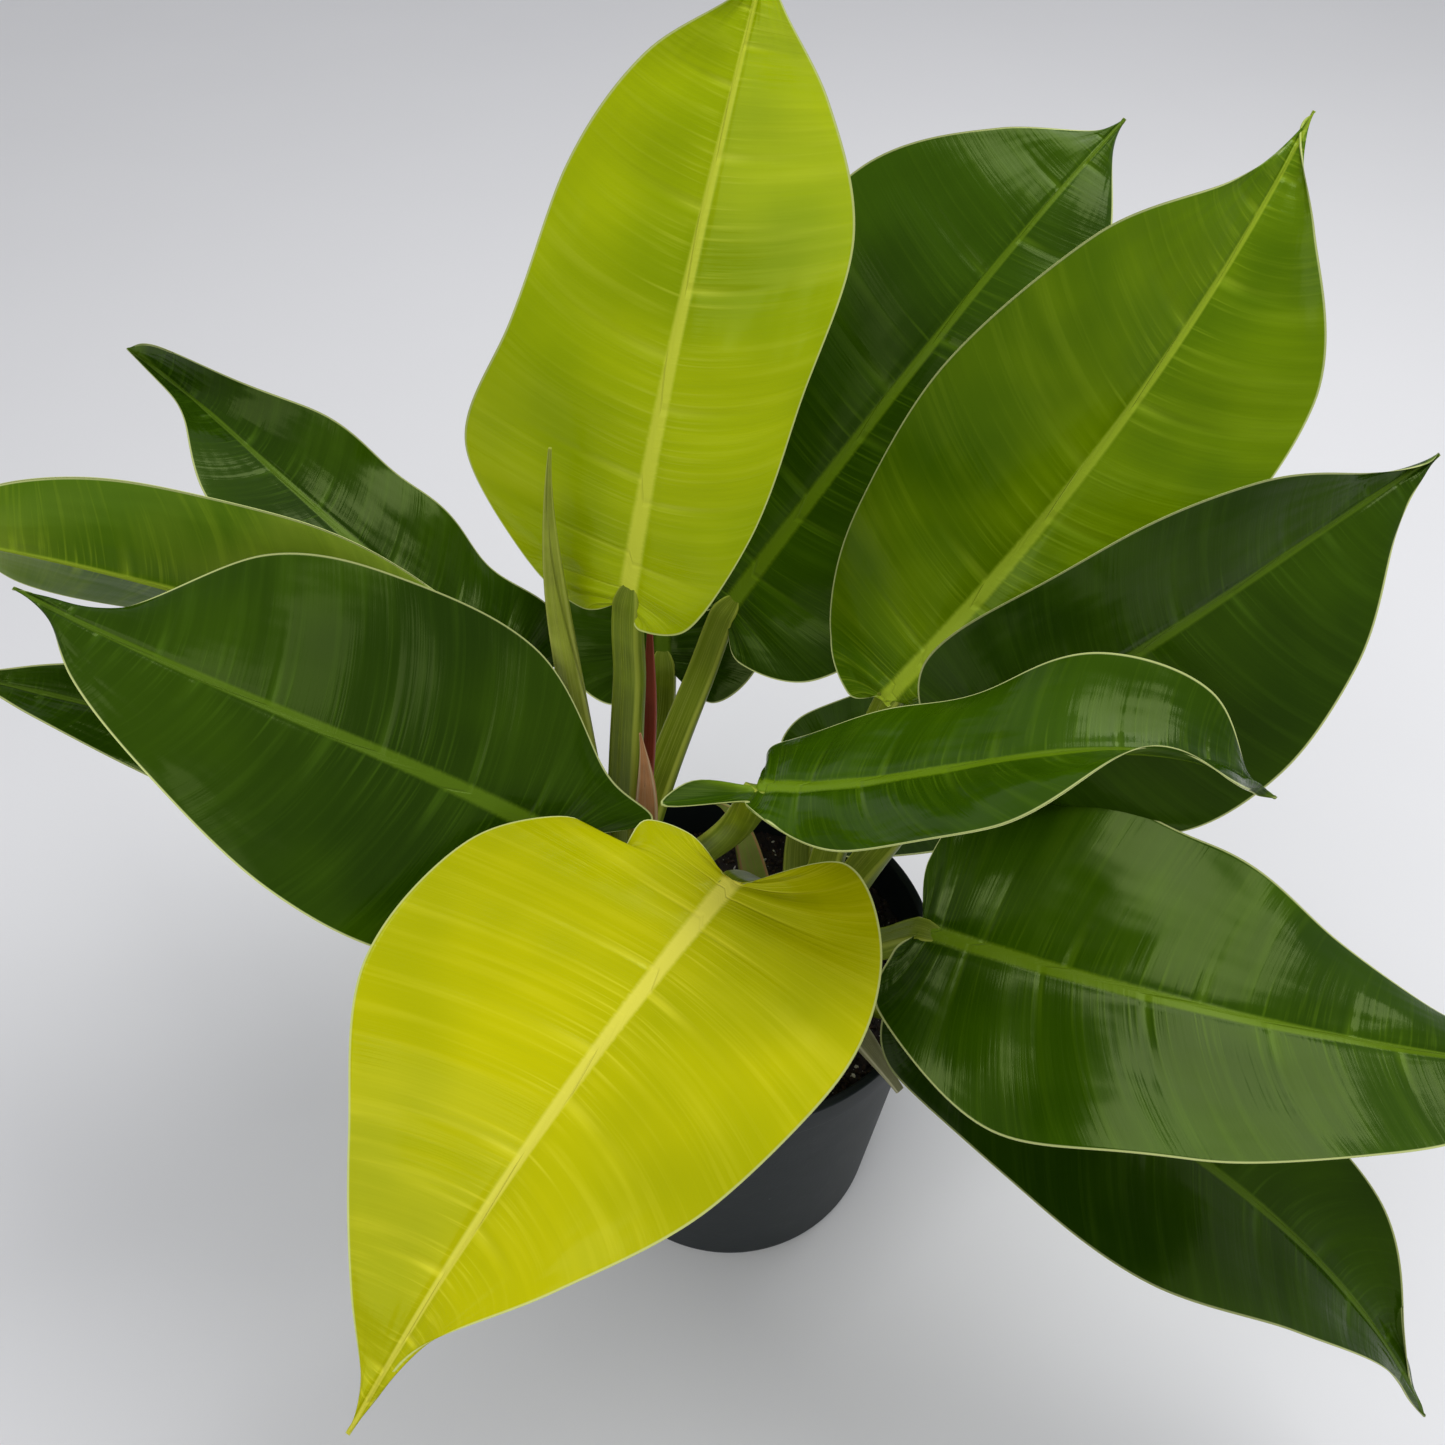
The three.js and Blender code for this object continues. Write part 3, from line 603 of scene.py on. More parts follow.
def strips(rows, columns, first):
    """Four-sided faces between neighbouring rows and columns of points, numbered from first."""
    return [
        (first + r * columns + c, first + r * columns + c + 1,
         first + (r + 1) * columns + c + 1, first + (r + 1) * columns + c)
        for r in range(rows - 1)
        for c in range(columns - 1)
    ]


def build_blade(name, leaf, form, settings, finishes):
    grid = blade_grid(form, settings.leaf)
    rows, columns = grid["rib"].shape
    count = rows * columns
    top = [face[::-1] for face in strips(rows, columns, 0)]
    under = strips(rows, columns, count)
    ring = [r * columns for r in range(rows)]
    ring += [(rows - 1) * columns + c for c in range(1, columns)]
    ring += [r * columns + columns - 1 for r in range(rows - 2, -1, -1)]
    ring += list(range(columns - 2, 0, -1))
    wall = [(a, b, b + count, a + count) for a, b in zip(ring, ring[1:] + ring[:1])]
    points = np.concatenate([grid["top"].reshape(-1, 3), grid["under"].reshape(-1, 3)])
    faces = [face[::-1] for face in top + under + wall]
    slots = [0] * len(top) + [1] * len(under) + [0] * len(wall)
    made = mesh_object(name, points, faces, finishes, slots)
    for key in ("vein", "across", "rib", "edge", "along"):
        store(made, key, np.concatenate([grid[key].ravel()] * 2))
    return made


# ---- Stalks by Geometry Nodes ---------------------------------------------------------------


class NodeMaker:
    """Adds nodes to one tree."""

    def add(self, kind, settings=None, inputs=None):
        """A node with its settings made first, and then its sockets' values or links."""
        made = self.tree.nodes.new(kind)
        for key, value in (settings or {}).items():
            setattr(made, key, value)
        for key, value in (inputs or {}).items():
            source = getattr(value, "socket", value)
            if isinstance(source, bpy.types.NodeSocket):
                self.tree.links.new(source, made.inputs[key])
            else:
                made.inputs[key].default_value = value
        return made


class Tree(NodeMaker):
    """A Geometry Nodes tree that ends in Realize Instances and Set Material."""

    def __init__(self, name, inputs):
        self.tree = bpy.data.node_groups.new(name, "GeometryNodeTree")
        face = self.tree.interface
        face.new_socket("Geometry", in_out="INPUT", socket_type="NodeSocketGeometry")
        for label, kind in inputs.items():
            face.new_socket(label, in_out="INPUT", socket_type="NodeSocket" + kind)
        face.new_socket("Geometry", in_out="OUTPUT", socket_type="NodeSocketGeometry")
        self.given = self.tree.nodes.new("NodeGroupInput")

    def input(self, label):
        return self.given.outputs[label]

    def named(self, name, data_type="FLOAT"):
        found = self.add("GeometryNodeInputNamedAttribute", {"data_type": data_type}, {"Name": name})
        return found.outputs["Attribute"]

    def maths(self, operation, *terms):
        made = self.add("ShaderNodeMath", {"operation": operation}, dict(enumerate(terms)))
        return made.outputs[0]

    def finish(self, geometry):
        real = self.add("GeometryNodeRealizeInstances", None, {"Geometry": geometry})
        painted = self.add(
            "GeometryNodeSetMaterial", None,
            {"Geometry": real.outputs[0], "Material": self.input("Material")},
        )
        out = self.tree.nodes.new("NodeGroupOutput")
        self.tree.links.new(painted.outputs[0], out.inputs[0])
        return self

    def grow(self, source, name, values):
        """Runs the tree on an object, and returns the result as a plain mesh object."""
        modifier = source.modifiers.new("grow", "NODES")
        modifier.node_group = self.tree
        for item in self.tree.interface.items_tree:
            if item.in_out == "INPUT" and item.name in values:
                modifier[item.identifier] = values[item.name]
        bpy.context.view_layer.update()
        graph = bpy.context.evaluated_depsgraph_get()
        mesh = bpy.data.meshes.new_from_object(source.evaluated_get(graph))
        mesh.name = name
        bpy.data.objects.remove(source)
        made = bpy.data.objects.new(name, mesh)
        bpy.context.scene.collection.objects.link(made)
        return made


def stalk_tree():
    """Sweeps a round section, flattened on its upper side, along a path of stored radii."""
    tree = Tree("stalk", {"Sides": "Int", "Flatness": "Float", "Hollow": "Float", "Material": "Material"})
    path = tree.add("GeometryNodeMeshToCurve", None, {"Mesh": tree.input("Geometry")})
    thick = tree.add(
        "GeometryNodeSetCurveRadius", None, {"Curve": path.outputs[0], "Radius": tree.named("thick")}
    )
    turned = tree.add(
        "GeometryNodeSetCurveNormal", {"mode": "FREE"},
        {"Curve": thick.outputs[0], "Normal": tree.named("facing", "FLOAT_VECTOR")},
    )
    ring = tree.add(
        "GeometryNodeCurvePrimitiveCircle", None, {"Resolution": tree.input("Sides"), "Radius": 1.0}
    )
    around = tree.add(
        "GeometryNodeStoreNamedAttribute", {"data_type": "FLOAT", "domain": "POINT"},
        {"Geometry": ring.outputs[0], "Name": "around",
         "Value": tree.add("GeometryNodeSplineParameter").outputs["Factor"]},
    )
    spot = tree.add("GeometryNodeInputPosition").outputs[0]
    where = tree.add("ShaderNodeSeparateXYZ", None, {0: spot})
    x, y = where.outputs[0], where.outputs[1]
    ceiling = tree.maths("SUBTRACT", 1.0, tree.input("Flatness"))
    inward = tree.maths("SUBTRACT", 1.0, tree.maths("MULTIPLY", y, y))
    dip = tree.maths("MULTIPLY", tree.input("Hollow"), inward)
    low = tree.maths("SMOOTH_MIN", x, tree.maths("SUBTRACT", ceiling, dip), 0.12)
    moved = tree.add("ShaderNodeCombineXYZ", None, {0: low, 1: y})
    section = tree.add(
        "GeometryNodeSetPosition", None, {"Geometry": around.outputs[0], "Position": moved.outputs[0]}
    )
    swept = tree.add(
        "GeometryNodeCurveToMesh", None,
        {"Curve": turned.outputs[0], "Profile Curve": section.outputs[0],
         "Scale": tree.named("thick"), "Fill Caps": True},
    )
    smooth = tree.add("GeometryNodeSetShadeSmooth", None, {"Geometry": swept.outputs[0]})
    return tree.finish(smooth.outputs[0])


def grow_stalk(tree, name, points, radii, facing, flatness, hollow, sides, finish):
    """One stalk along a line of points, with its radius and the way its flat side faces at each."""
    mesh = bpy.data.meshes.new(name + "_path")
    count = len(points)
    mesh.from_pydata([tuple(p) for p in points], [(i, i + 1) for i in range(count - 1)], [])
    source = bpy.data.objects.new(name + "_path", mesh)
    bpy.context.scene.collection.objects.link(source)
    store(source, "thick", radii)
    store(source, "along", np.linspace(0, 1, count))
    vectors = mesh.attributes.new("facing", "FLOAT_VECTOR", "POINT")
    vectors.data.foreach_set("vector", np.asarray(facing, np.float32).ravel())
    values = {"Sides": sides, "Flatness": flatness, "Hollow": hollow, "Material": finish}
    return tree.grow(source, name, values)


def petiole_path(leaf, form, sizes):
    """The petiole's four corners, from its crown to where it runs into the midrib."""
    middle = middle_of(leaf)
    end = form.base - form.up * (sizes.top_radius + JOINT_SINK)
    outward = (end - middle) * (1, 1, 0)
    foot = middle + unit(outward) * CROWN_REACH
    span = end - foot
    first = foot + span * 0.2 + UP * span[2] * 0.25
    arrive = np.array(leaf["arrive"]) if "arrive" in leaf else unit(form.start + UP * 0.9)
    second = end - arrive * 0.35 * np.linalg.norm(span)
    return foot, first, second, end


def middle_of(leaf):
    """Where in its crown a leaf's petiole starts."""
    return place((*CROWNS[leaf["crown"]], leaf["foot"]))


def build_petiole(tree, name, leaf, form, settings, finish):
    sizes = settings.stalk
    corners = petiole_path(leaf, form, sizes)
    t = np.linspace(0, 1, PETIOLE_POINTS)
    climb = leaf.get("joint", 1) * sizes.top_radius * JOINT_RISE + JOINT_SINK
    late = smoother(np.clip((t - JOINT_FROM) / (1 - JOINT_FROM), 0, 1))[:, None]
    points = bezier(corners, t) + form.up * climb * late
    taper = np.array(JOINT_TAPER)
    ahead = points[-1] + form.start * JOINT_LENGTH * np.linspace(0.25, 1, len(taper))[:, None]
    points = np.concatenate([points, ahead])
    directions = [bezier_direction(corners, t), np.tile(form.start, (len(taper), 1))]
    directions = np.concatenate(directions)
    radii = sizes.foot_radius + (sizes.top_radius - sizes.foot_radius) * t**0.7
    radii = np.concatenate([radii, sizes.top_radius * taper]) * PETIOLE_STOUTNESS
    inward = unit(middle_of(leaf) - points[0] + UP * 0.02)
    share_up = smoother(np.linspace(0, 1, len(points)))[:, None]
    facing = square_to(inward * (1 - share_up) + form.up * share_up, directions)
    return grow_stalk(tree, name, points, radii, facing, sizes.channel, 0.12, sizes.sides, finish)


def build_shoot(tree, name, shoot, settings, finish):
    t = np.linspace(0, 1, SHOOT_POINTS)
    corners = [place(corner) for corner in shoot["path"]]
    points = bezier(corners, t)
    directions = bezier_direction(corners, t)
    radii = through([(r * MM,) for r in shoot["radii"]], t)[:, 0]
    facing = square_to(np.tile(np.array(shoot["faces"], float), (len(t), 1)), directions)
    return grow_stalk(tree, name, points, radii, facing, shoot["flat"], 0.0, SHOOT_SIDES, finish)


# ---- Shader maths ---------------------------------------------------------------------------


def maths(operation, swapped=False):
    """A method that works out one operation between a wire and a wire or number."""

    def method(wire, other=0.0):
        terms = (other, wire) if swapped else (wire, other)
        return wire.paint.node("ShaderNodeMath", {"operation": operation}, dict(enumerate(terms)))

    return method


class Wire:
    """A value in a material. Sums and products of wires add the material's Math nodes."""

    def __init__(self, paint, socket):
        self.paint = paint
        self.socket = socket

    __add__, __radd__ = maths("ADD"), maths("ADD", swapped=True)
    __sub__, __rsub__ = maths("SUBTRACT"), maths("SUBTRACT", swapped=True)
    __mul__, __rmul__ = maths("MULTIPLY"), maths("MULTIPLY", swapped=True)
    __abs__ = maths("ABSOLUTE")
    turns = maths("FRACT")  # what is left of the value above its last whole number


class Paint(NodeMaker):
    """One material's nodes."""

    def __init__(self, name):
        self.material = bpy.data.materials.new(name)
        self.material.use_nodes = True
        self.tree = self.material.node_tree
        self.tree.nodes.clear()

    def node(self, kind, settings=None, inputs=None, output=0):
        """One of a new node's outputs, as a value to work with."""
        return Wire(self, self.add(kind, settings, inputs).outputs[output])

    def value(self, name):
        """A number stored on the mesh."""
        return self.node("ShaderNodeAttribute", {"attribute_name": name}, output="Fac")

    def place(self):
        return self.node("ShaderNodeTexCoord", output="Object")

    def vector(self, x, y=0.0, z=0.0):
        return self.node("ShaderNodeCombineXYZ", None, {0: x, 1: y, 2: z})

    def noise(self, where, scale, detail=3.0, roughness=0.55):
        return self.node(
            "ShaderNodeTexNoise", None,
            {"Vector": where, "Scale": scale, "Detail": detail, "Roughness": roughness}, "Fac",
        )

    def grains(self, where, scale):
        return self.node("ShaderNodeTexVoronoi", None, {"Vector": where, "Scale": scale}, "Distance")

    def rise(self, value, low, high):
        """0 below low and 1 above high, with a smooth rise between, or a fall where low is higher."""
        return self.node(
            "ShaderNodeMapRange", {"interpolation_type": "SMOOTHSTEP"},
            {"Value": value, "From Min": low, "From Max": high},
        )

    def mix(self, amount, first, second):
        """A colour between two."""
        return self.node("ShaderNodeMix", {"data_type": "RGBA"}, {0: amount, 6: first, 7: second}, 2)

    def bump(self, height, distance, strength=1.0):
        inputs = {"Height": height, "Distance": distance, "Strength": strength}
        return self.node("ShaderNodeBump", None, inputs)

    def finish(self, color, roughness, normal=None, **constants):
        inputs = {"Base Color": color, "Roughness": roughness}
        if normal is not None:
            inputs["Normal"] = normal
        inputs.update({key.replace("_", " "): value for key, value in constants.items()})
        surface = self.node("ShaderNodeBsdfPrincipled", None, inputs)
        self.add("ShaderNodeOutputMaterial", None, {"Surface": surface})
        return self.material


def leaf_finishes(tone, settings):
    """The glossy upper face and the paler, duller underside of one tone of leaf."""
    upper, shade, rib, vein, under = (display(*c) for c in TONES[tone])
    margin = list(settings.colours.margin)
    return [
        leaf_face(tone + "_leaf_upper", upper, shade, rib, vein, margin, gloss=0.1),
        leaf_face(tone + "_leaf_under", under, shade, rib, vein, margin, gloss=0.34),
    ]


def leaf_face(name, main, shade, rib_colour, vein_colour, margin_colour, gloss):
    """A leaf's skin. Its veins leave the midrib side by side and curve towards the tip, as the mesh does."""
    paint = Paint(name)
    across, rib, edge, along = (paint.value(key) for key in ("across", "rib", "edge", "along"))
    outward = abs(across)
    cloud = paint.noise(paint.place(), 15.0, 2.0)
    vein = paint.value("vein")
    patch = paint.noise(paint.vector(vein * 0.45, across * 1.6), 1.6, 2.0, 0.5)
    streak = paint.noise(paint.vector(vein * 3.4, across * 0.3), 1.6, 2.0, 0.6)
    thread = paint.noise(paint.vector(vein * 12.0, across * 0.42), 1.7, 2.0, 0.6)
    near_rib = paint.rise(rib, 12.0, 1.0)
    line = paint.rise(abs(vein.turns() - 0.5), 0.07, 0.0) * paint.rise(outward, 0.9, 0.1)
    colour_now = paint.mix(paint.rise(cloud, 0.32, 0.68), main, shade)
    colour_now = paint.mix(paint.rise(streak, 0.62, 0.38) * 0.2, colour_now, shade)
    colour_now = paint.mix(paint.rise(streak, 0.5, 0.76) * (0.06 + 0.26 * patch), colour_now, vein_colour)
    fine = paint.rise(thread, 0.5, 0.68)
    colour_now = paint.mix(fine * (0.12 + 0.34 * near_rib), colour_now, vein_colour)
    colour_now = paint.mix(line * (0.1 + 0.8 * patch * near_rib), colour_now, vein_colour)
    colour_now = paint.mix(paint.rise(edge, 0.8, 0.35) * 0.8, colour_now, margin_colour)
    in_rib = paint.rise(rib + 0.7 * (thread - 0.5) * paint.rise(along, 1.0, 0.2), 1.5, 0.7)
    colour_now = paint.mix(in_rib * (0.96 - 0.4 * along), colour_now, rib_colour)
    rough = gloss + 0.08 * streak + 0.12 * patch + 0.1 * in_rib
    height = streak * 0.4 + thread * 0.34 + patch * 2.4 - line * 0.7
    return paint.finish(
        colour_now, rough, paint.bump(height, 0.5 * MM, 0.7),
        Specular_Tint=(0.66, 0.84, 0.28, 1.0), Specular_IOR_Level=0.25,
    )


def stalk_finish(name, main, edge_colour, dry=0.0, foot_colour=None, seam=False):
    """A fibrous stalk or sheath, with lengthwise streaks and paler edges beside its flat face."""
    paint = Paint(name)
    around, along = paint.value("around"), paint.value("along")
    fibre = paint.noise(paint.vector(around * 60.0, along * 3.0), 1.0, 4.0, 0.6)
    cloud = paint.noise(paint.place(), 60.0, 3.0)
    corner = abs(abs((around + 0.5).turns() - 0.5) - 0.17)
    pale = paint.rise(corner, 0.05, 0.01)
    dark = [c * 0.55 for c in main[:3]] + [1.0]
    colour_now = paint.mix(paint.rise(cloud, 0.35, 0.7) * 0.6, main, dark)
    colour_now = paint.mix(paint.rise(fibre, 0.45, 0.7) * 0.4, colour_now, edge_colour)
    colour_now = paint.mix(pale * 0.7, colour_now, edge_colour)
    height = fibre * (0.5 + dry) + cloud * 0.3
    if foot_colour is not None:
        colour_now = paint.mix(paint.rise(along + 0.1 * fibre, 0.34, 0.12), colour_now, foot_colour)
    if seam:
        lap = paint.rise(abs((around + along * 0.6).turns() - 0.5), 0.03, 0.0)
        colour_now = paint.mix(lap * 0.7, colour_now, dark)
        height = height - lap * 2.0
    rough = 0.36 + 0.25 * dry + 0.12 * fibre
    return paint.finish(
        colour_now, rough, paint.bump(height, 0.3 * MM, 0.6),
        Specular_Tint=(0.8, 0.86, 0.5, 1.0), Specular_IOR_Level=0.35,
    )


def pot_finish(settings):
    """Moulded plastic: fine grain, faint scuffs and a little dust."""
    paint = Paint("pot_plastic")
    spot = paint.place()
    grain = paint.noise(spot, 900.0, 2.0)
    scuff = paint.noise(spot, 34.0, 5.0, 0.7)
    main = list(settings.colours.pot)
    dusty = [0.75 * c + 0.25 * d for c, d in zip(main, display(128, 134, 130))]
    colour_now = paint.mix(paint.rise(scuff, 0.52, 0.8) * 0.35, main, dusty)
    speck = paint.rise(paint.grains(spot, 150.0), 0.07, 0.03) * paint.rise(scuff, 0.55, 0.7)
    colour_now = paint.mix(speck * 0.6, colour_now, display(190, 188, 178))
    rough = 0.5 + 0.14 * scuff
    fine = paint.bump(grain + scuff * 0.6, 0.12 * MM, 0.5)
    return paint.finish(colour_now, rough, fine, Specular_IOR_Level=0.3)


def mix_finish(settings):
    """Dark damp peat with fibres and fine pale specks."""
    paint = Paint("potting_mix")
    spot = paint.place()
    lump = paint.noise(spot, 240.0, 6.0, 0.7)
    main = list(settings.colours.mix)
    bark = list(settings.colours.bark)
    colour_now = paint.mix(paint.rise(lump, 0.5, 0.75) * 0.7, main, bark)
    speck = paint.rise(paint.grains(spot, 520.0), 0.16, 0.06)
    colour_now = paint.mix(speck * 0.5, colour_now, list(settings.colours.perlite))
    return paint.finish(colour_now, 0.8 + 0.15 * lump, paint.bump(lump, 1.2 * MM, 0.9))


def crumb_finish(name, main, light):
    paint = Paint(name)
    spot = paint.place()
    grain = paint.noise(spot, 700.0, 4.0)
    colour_now = paint.mix(paint.rise(grain, 0.4, 0.7), main, light)
    return paint.finish(colour_now, 0.75 + 0.2 * grain, paint.bump(grain, 0.3 * MM, 0.7))


def crown_finish(settings):
    """Green stem with rings where old leaves were."""
    paint = Paint("crown_bark")
    spot = paint.place()
    rings = paint.noise(paint.node("ShaderNodeMapping", None, {0: spot, 3: (30.0, 30.0, 420.0)}), 1.0, 3.0)
    main = list(settings.colours.crown)
    dark = [c * 0.4 for c in main[:3]] + [1.0]
    colour_now = paint.mix(paint.rise(rings, 0.4, 0.65), main, dark)
    return paint.finish(colour_now, 0.5 + 0.2 * rings, paint.bump(rings, 0.6 * MM, 0.8))


def floor_finish(settings):
    paint = Paint("floor")
    tone = list(settings.stage.floor)
    grain = paint.noise(paint.place(), 6.0, 2.0)
    darker = [c * 0.97 for c in tone[:3]] + [1.0]
    return paint.finish(paint.mix(grain, tone, darker), 0.6 + 0.1 * grain)


# ---- Pot and potting mix --------------------------------------------------------------------


def rounded(profile, radius, steps=5):
    """An open profile with each inner corner eased by a short curve, no longer than its sides allow."""
    points = [np.array(p, float) for p in profile]
    eased = [points[0]]
    for before, corner, after in zip(points, points[1:], points[2:]):
        room = min(radius, np.linalg.norm(before - corner) / 2.2, np.linalg.norm(after - corner) / 2.2)
        a = corner + unit(before - corner) * room
        b = corner + unit(after - corner) * room
        for t in np.linspace(0, 1, steps):
            eased.append((1 - t) ** 2 * a + 2 * t * (1 - t) * corner + t**2 * b)
    return eased + [points[-1]]


def turned(name, profile, segments, finish):
    """A closed solid of revolution, from a profile that starts and ends on the axis."""
    inner = profile[1:-1]
    angles = [2 * math.pi * k / segments for k in range(segments)]
    points = [(r * math.cos(a), r * math.sin(a), z) for r, z in inner for a in angles]
    low, high = len(points), len(points) + 1
    points += [(0, 0, profile[0][1]), (0, 0, profile[-1][1])]
    faces = []
    for ring in range(len(inner) - 1):
        for k in range(segments):
            a, b = ring * segments + k, ring * segments + (k + 1) % segments
            faces.append((a, b, b + segments, a + segments))
    last = (len(inner) - 1) * segments
    for k in range(segments):
        nxt = (k + 1) % segments
        faces.append((low, nxt, k))
        faces.append((high, last + k, last + nxt))
    return mesh_object(name, points, faces, [finish])


def drain_tree():
    """Cuts a ring of round holes through the floor of the pot."""
    tree = Tree("drains", {"Count": "Int", "Reach": "Float", "Radius": "Float", "Depth": "Float",
                           "Material": "Material"})
    ring = tree.add(
        "GeometryNodeMeshCircle", None,
        {"Vertices": tree.input("Count"), "Radius": tree.input("Reach")},
    )
    drill = tree.add(
        "GeometryNodeMeshCylinder", None,
        {"Vertices": 32, "Radius": tree.input("Radius"), "Depth": tree.input("Depth")},
    )
    half_turn = tree.maths("DIVIDE", math.pi, tree.input("Count"))
    turn = tree.add("ShaderNodeCombineXYZ", None, {2: half_turn})
    spun = tree.add(
        "GeometryNodeTransform", None, {"Geometry": ring.outputs[0], "Rotation": turn.outputs[0]}
    )
    drills = tree.add(
        "GeometryNodeInstanceOnPoints", None, {"Points": spun.outputs[0], "Instance": drill.outputs[0]}
    )
    solid = tree.add("GeometryNodeRealizeInstances", None, {"Geometry": drills.outputs[0]})
    cut = tree.add("GeometryNodeMeshBoolean", {"operation": "DIFFERENCE", "solver": "EXACT"},
                    {"Mesh 1": tree.input("Geometry"), "Mesh 2": solid.outputs[0]})
    return tree.finish(cut.outputs[0])


def build_pot(settings, finish):
    sizes = settings.pot
    height = POT_BOX[1].z
    top = POT_BOX[1].x - sizes.band_proud
    slope = (top - sizes.base_radius) / height

    def outside(z):
        return sizes.base_radius + slope * z

    def inside(z):
        return outside(z) - sizes.wall

    floor_top = sizes.foot_rise + sizes.floor
    foot_inner = sizes.base_radius - sizes.foot_width
    band = height - sizes.band_height
    profile = [
        (0, 0),
        (sizes.centre_radius, 0),
        (sizes.centre_radius + MM, sizes.foot_rise),
        (foot_inner, sizes.foot_rise),
        (foot_inner + MM, 0),
        (sizes.base_radius - 0.5 * MM, 0),
        (outside(3 * MM), 3 * MM),
        (outside(band - 1.5 * MM), band - 1.5 * MM),
        (outside(band) + sizes.band_proud, band),
        (top + sizes.band_proud, height - 0.5 * MM),
        (top + sizes.band_proud - 0.6 * MM, height),
        (inside(height), height),
        (inside(floor_top), floor_top),
        (0, floor_top),
    ]
    shell = turned("pot_shell", rounded(profile, POT_EASING), ROUND_SEGMENTS, finish)
    tree = drain_tree()
    values = {"Count": sizes.drains, "Radius": sizes.drain_radius, "Depth": 4 * floor_top,
              "Reach": foot_inner - sizes.drain_radius - 3 * MM, "Material": finish}
    made = tree.grow(shell, "nursery_pot", values)
    made.data.polygons.foreach_set("use_smooth", [True] * len(made.data.polygons))
    made.data.set_sharp_from_angle(angle=SHARP_ANGLE)
    return made


def build_mix(settings, finish):
    """A lumpy disc of mix, closed underneath, that fills the pot."""
    sizes = settings.mix
    rim = MIX_BOX[1].x
    bottom = MIX_BOX[0].z
    base_radius = settings.pot.base_radius - settings.pot.wall + 0.4 * MM
    rings, segments = MIX_RINGS, ROUND_SEGMENTS
    points, faces = [(0.0, 0.0, MIX_LEVEL)], []
    for ring in range(1, rings + 1):
        radius = rim * ring / rings
        for k in range(segments):
            angle = 2 * math.pi * k / segments
            x, y = radius * math.cos(angle), radius * math.sin(angle)
            level = MIX_LEVEL - sizes.mound * (radius / rim) ** 2
            spot = Vector((x, y, 0.0))
            lump = sum(noise.noise(spot * count) * weight for count, weight in LUMPS)
            fade = min(1.0, (rings - ring) / 4)
            points.append((x, y, level + sizes.lumps * (lump - 0.9) * fade))
    for k in range(segments):
        faces.append((0, 1 + k, 1 + (k + 1) % segments))
    for ring in range(rings - 1):
        for k in range(segments):
            a, b = 1 + ring * segments + k, 1 + ring * segments + (k + 1) % segments
            faces.append((a, a + segments, b + segments, b))
    first = 1 + (rings - 1) * segments
    lower = len(points)
    turns = [2 * math.pi * k / segments for k in range(segments)]
    points += [(base_radius * math.cos(a), base_radius * math.sin(a), bottom) for a in turns]
    for k in range(segments):
        nxt = (k + 1) % segments
        faces.append((first + k, lower + k, lower + nxt, first + nxt))
    faces.append(tuple(lower + k for k in reversed(range(segments))))
    return mesh_object("potting_mix_surface", points, faces, [finish])


def scatter_tree():
    """Scatters small angular crumbs over the upward faces."""
    tree = Tree("crumbs", {"Density": "Float", "Size": "Float", "Reach": "Float", "Seed": "Int",
                           "Material": "Material"})
    normal = tree.add("ShaderNodeSeparateXYZ", None, {0: tree.add("GeometryNodeInputNormal").outputs[0]})
    upward = tree.maths("GREATER_THAN", normal.outputs[2], 0.3)
    grains = tree.add(
        "GeometryNodeDistributePointsOnFaces", {"distribute_method": "RANDOM"},
        {"Mesh": tree.input("Geometry"), "Selection": upward, "Density": tree.input("Density"),
         "Seed": tree.input("Seed")},
    )
    crumb = tree.add("GeometryNodeMeshIcoSphere", None, {"Radius": tree.input("Size"), "Subdivisions": 1})
    spread = tree.add(
        "FunctionNodeRandomValue", {"data_type": "FLOAT_VECTOR"},
        {0: (0.35, 0.3, 0.25), 1: (1.0, 0.8, 0.5), 8: tree.input("Seed")},
    )
    spin = tree.add(
        "FunctionNodeRandomValue", {"data_type": "FLOAT_VECTOR"},
        {0: (0.0, 0.0, 0.0), 1: (6.28, 6.28, 6.28), 8: tree.input("Seed")},
    )
    placed = tree.add(
        "GeometryNodeInstanceOnPoints", None,
        {"Points": grains.outputs["Points"], "Instance": crumb.outputs[0],
         "Rotation": spin.outputs[0], "Scale": spread.outputs[0]},
    )
    return tree.finish(placed.outputs[0])


# ---- Operators ------------------------------------------------------------------------------


def settings_of(context):
    return context.scene.philodendron


def seat(made, slot, *nodes):
    """A finished piece rides on the one body and stands for its frame nodes."""
    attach(made, "root")
    if nodes:
        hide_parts(*nodes)
    return made


class PHILODENDRON_OT_pot(bpy.types.Operator):
    """Build the moulded nursery pot with its drainage holes"""

    bl_idname = "philodendron.pot"
    bl_label = "Pot"

    def execute(self, context):
        settings = settings_of(context)
        seat(build_pot(settings, pot_finish(settings)), "pot", "pot")
        return {"FINISHED"}


class PHILODENDRON_OT_mix(bpy.types.Operator):
    """Fill the pot with lumpy mix, bark crumbs and perlite grains"""

    bl_idname = "philodendron.mix"
    bl_label = "Potting Mix"

    def execute(self, context):
        settings = settings_of(context)
        sizes, colours = settings.mix, settings.colours
        bark = crumb_finish("bark_crumb", list(colours.mix), list(colours.bark))
        white = crumb_finish("perlite_grain", list(colours.perlite), display(238, 236, 230))
        tree = scatter_tree()
        for name, size, density, finish in (
            ("bark_crumbs", sizes.crumb, BARK_DENSITY, bark),
            ("perlite_grains", sizes.perlite, PERLITE_DENSITY, white),
        ):
            ground = build_mix(settings, finish)
            values = {"Density": density, "Size": size, "Seed": sizes.seed + len(name), "Material": finish}
            seat(tree.grow(ground, name, values), "potting_mix")
        seat(build_mix(settings, mix_finish(settings)), "potting_mix", "potting_mix")
        return {"FINISHED"}


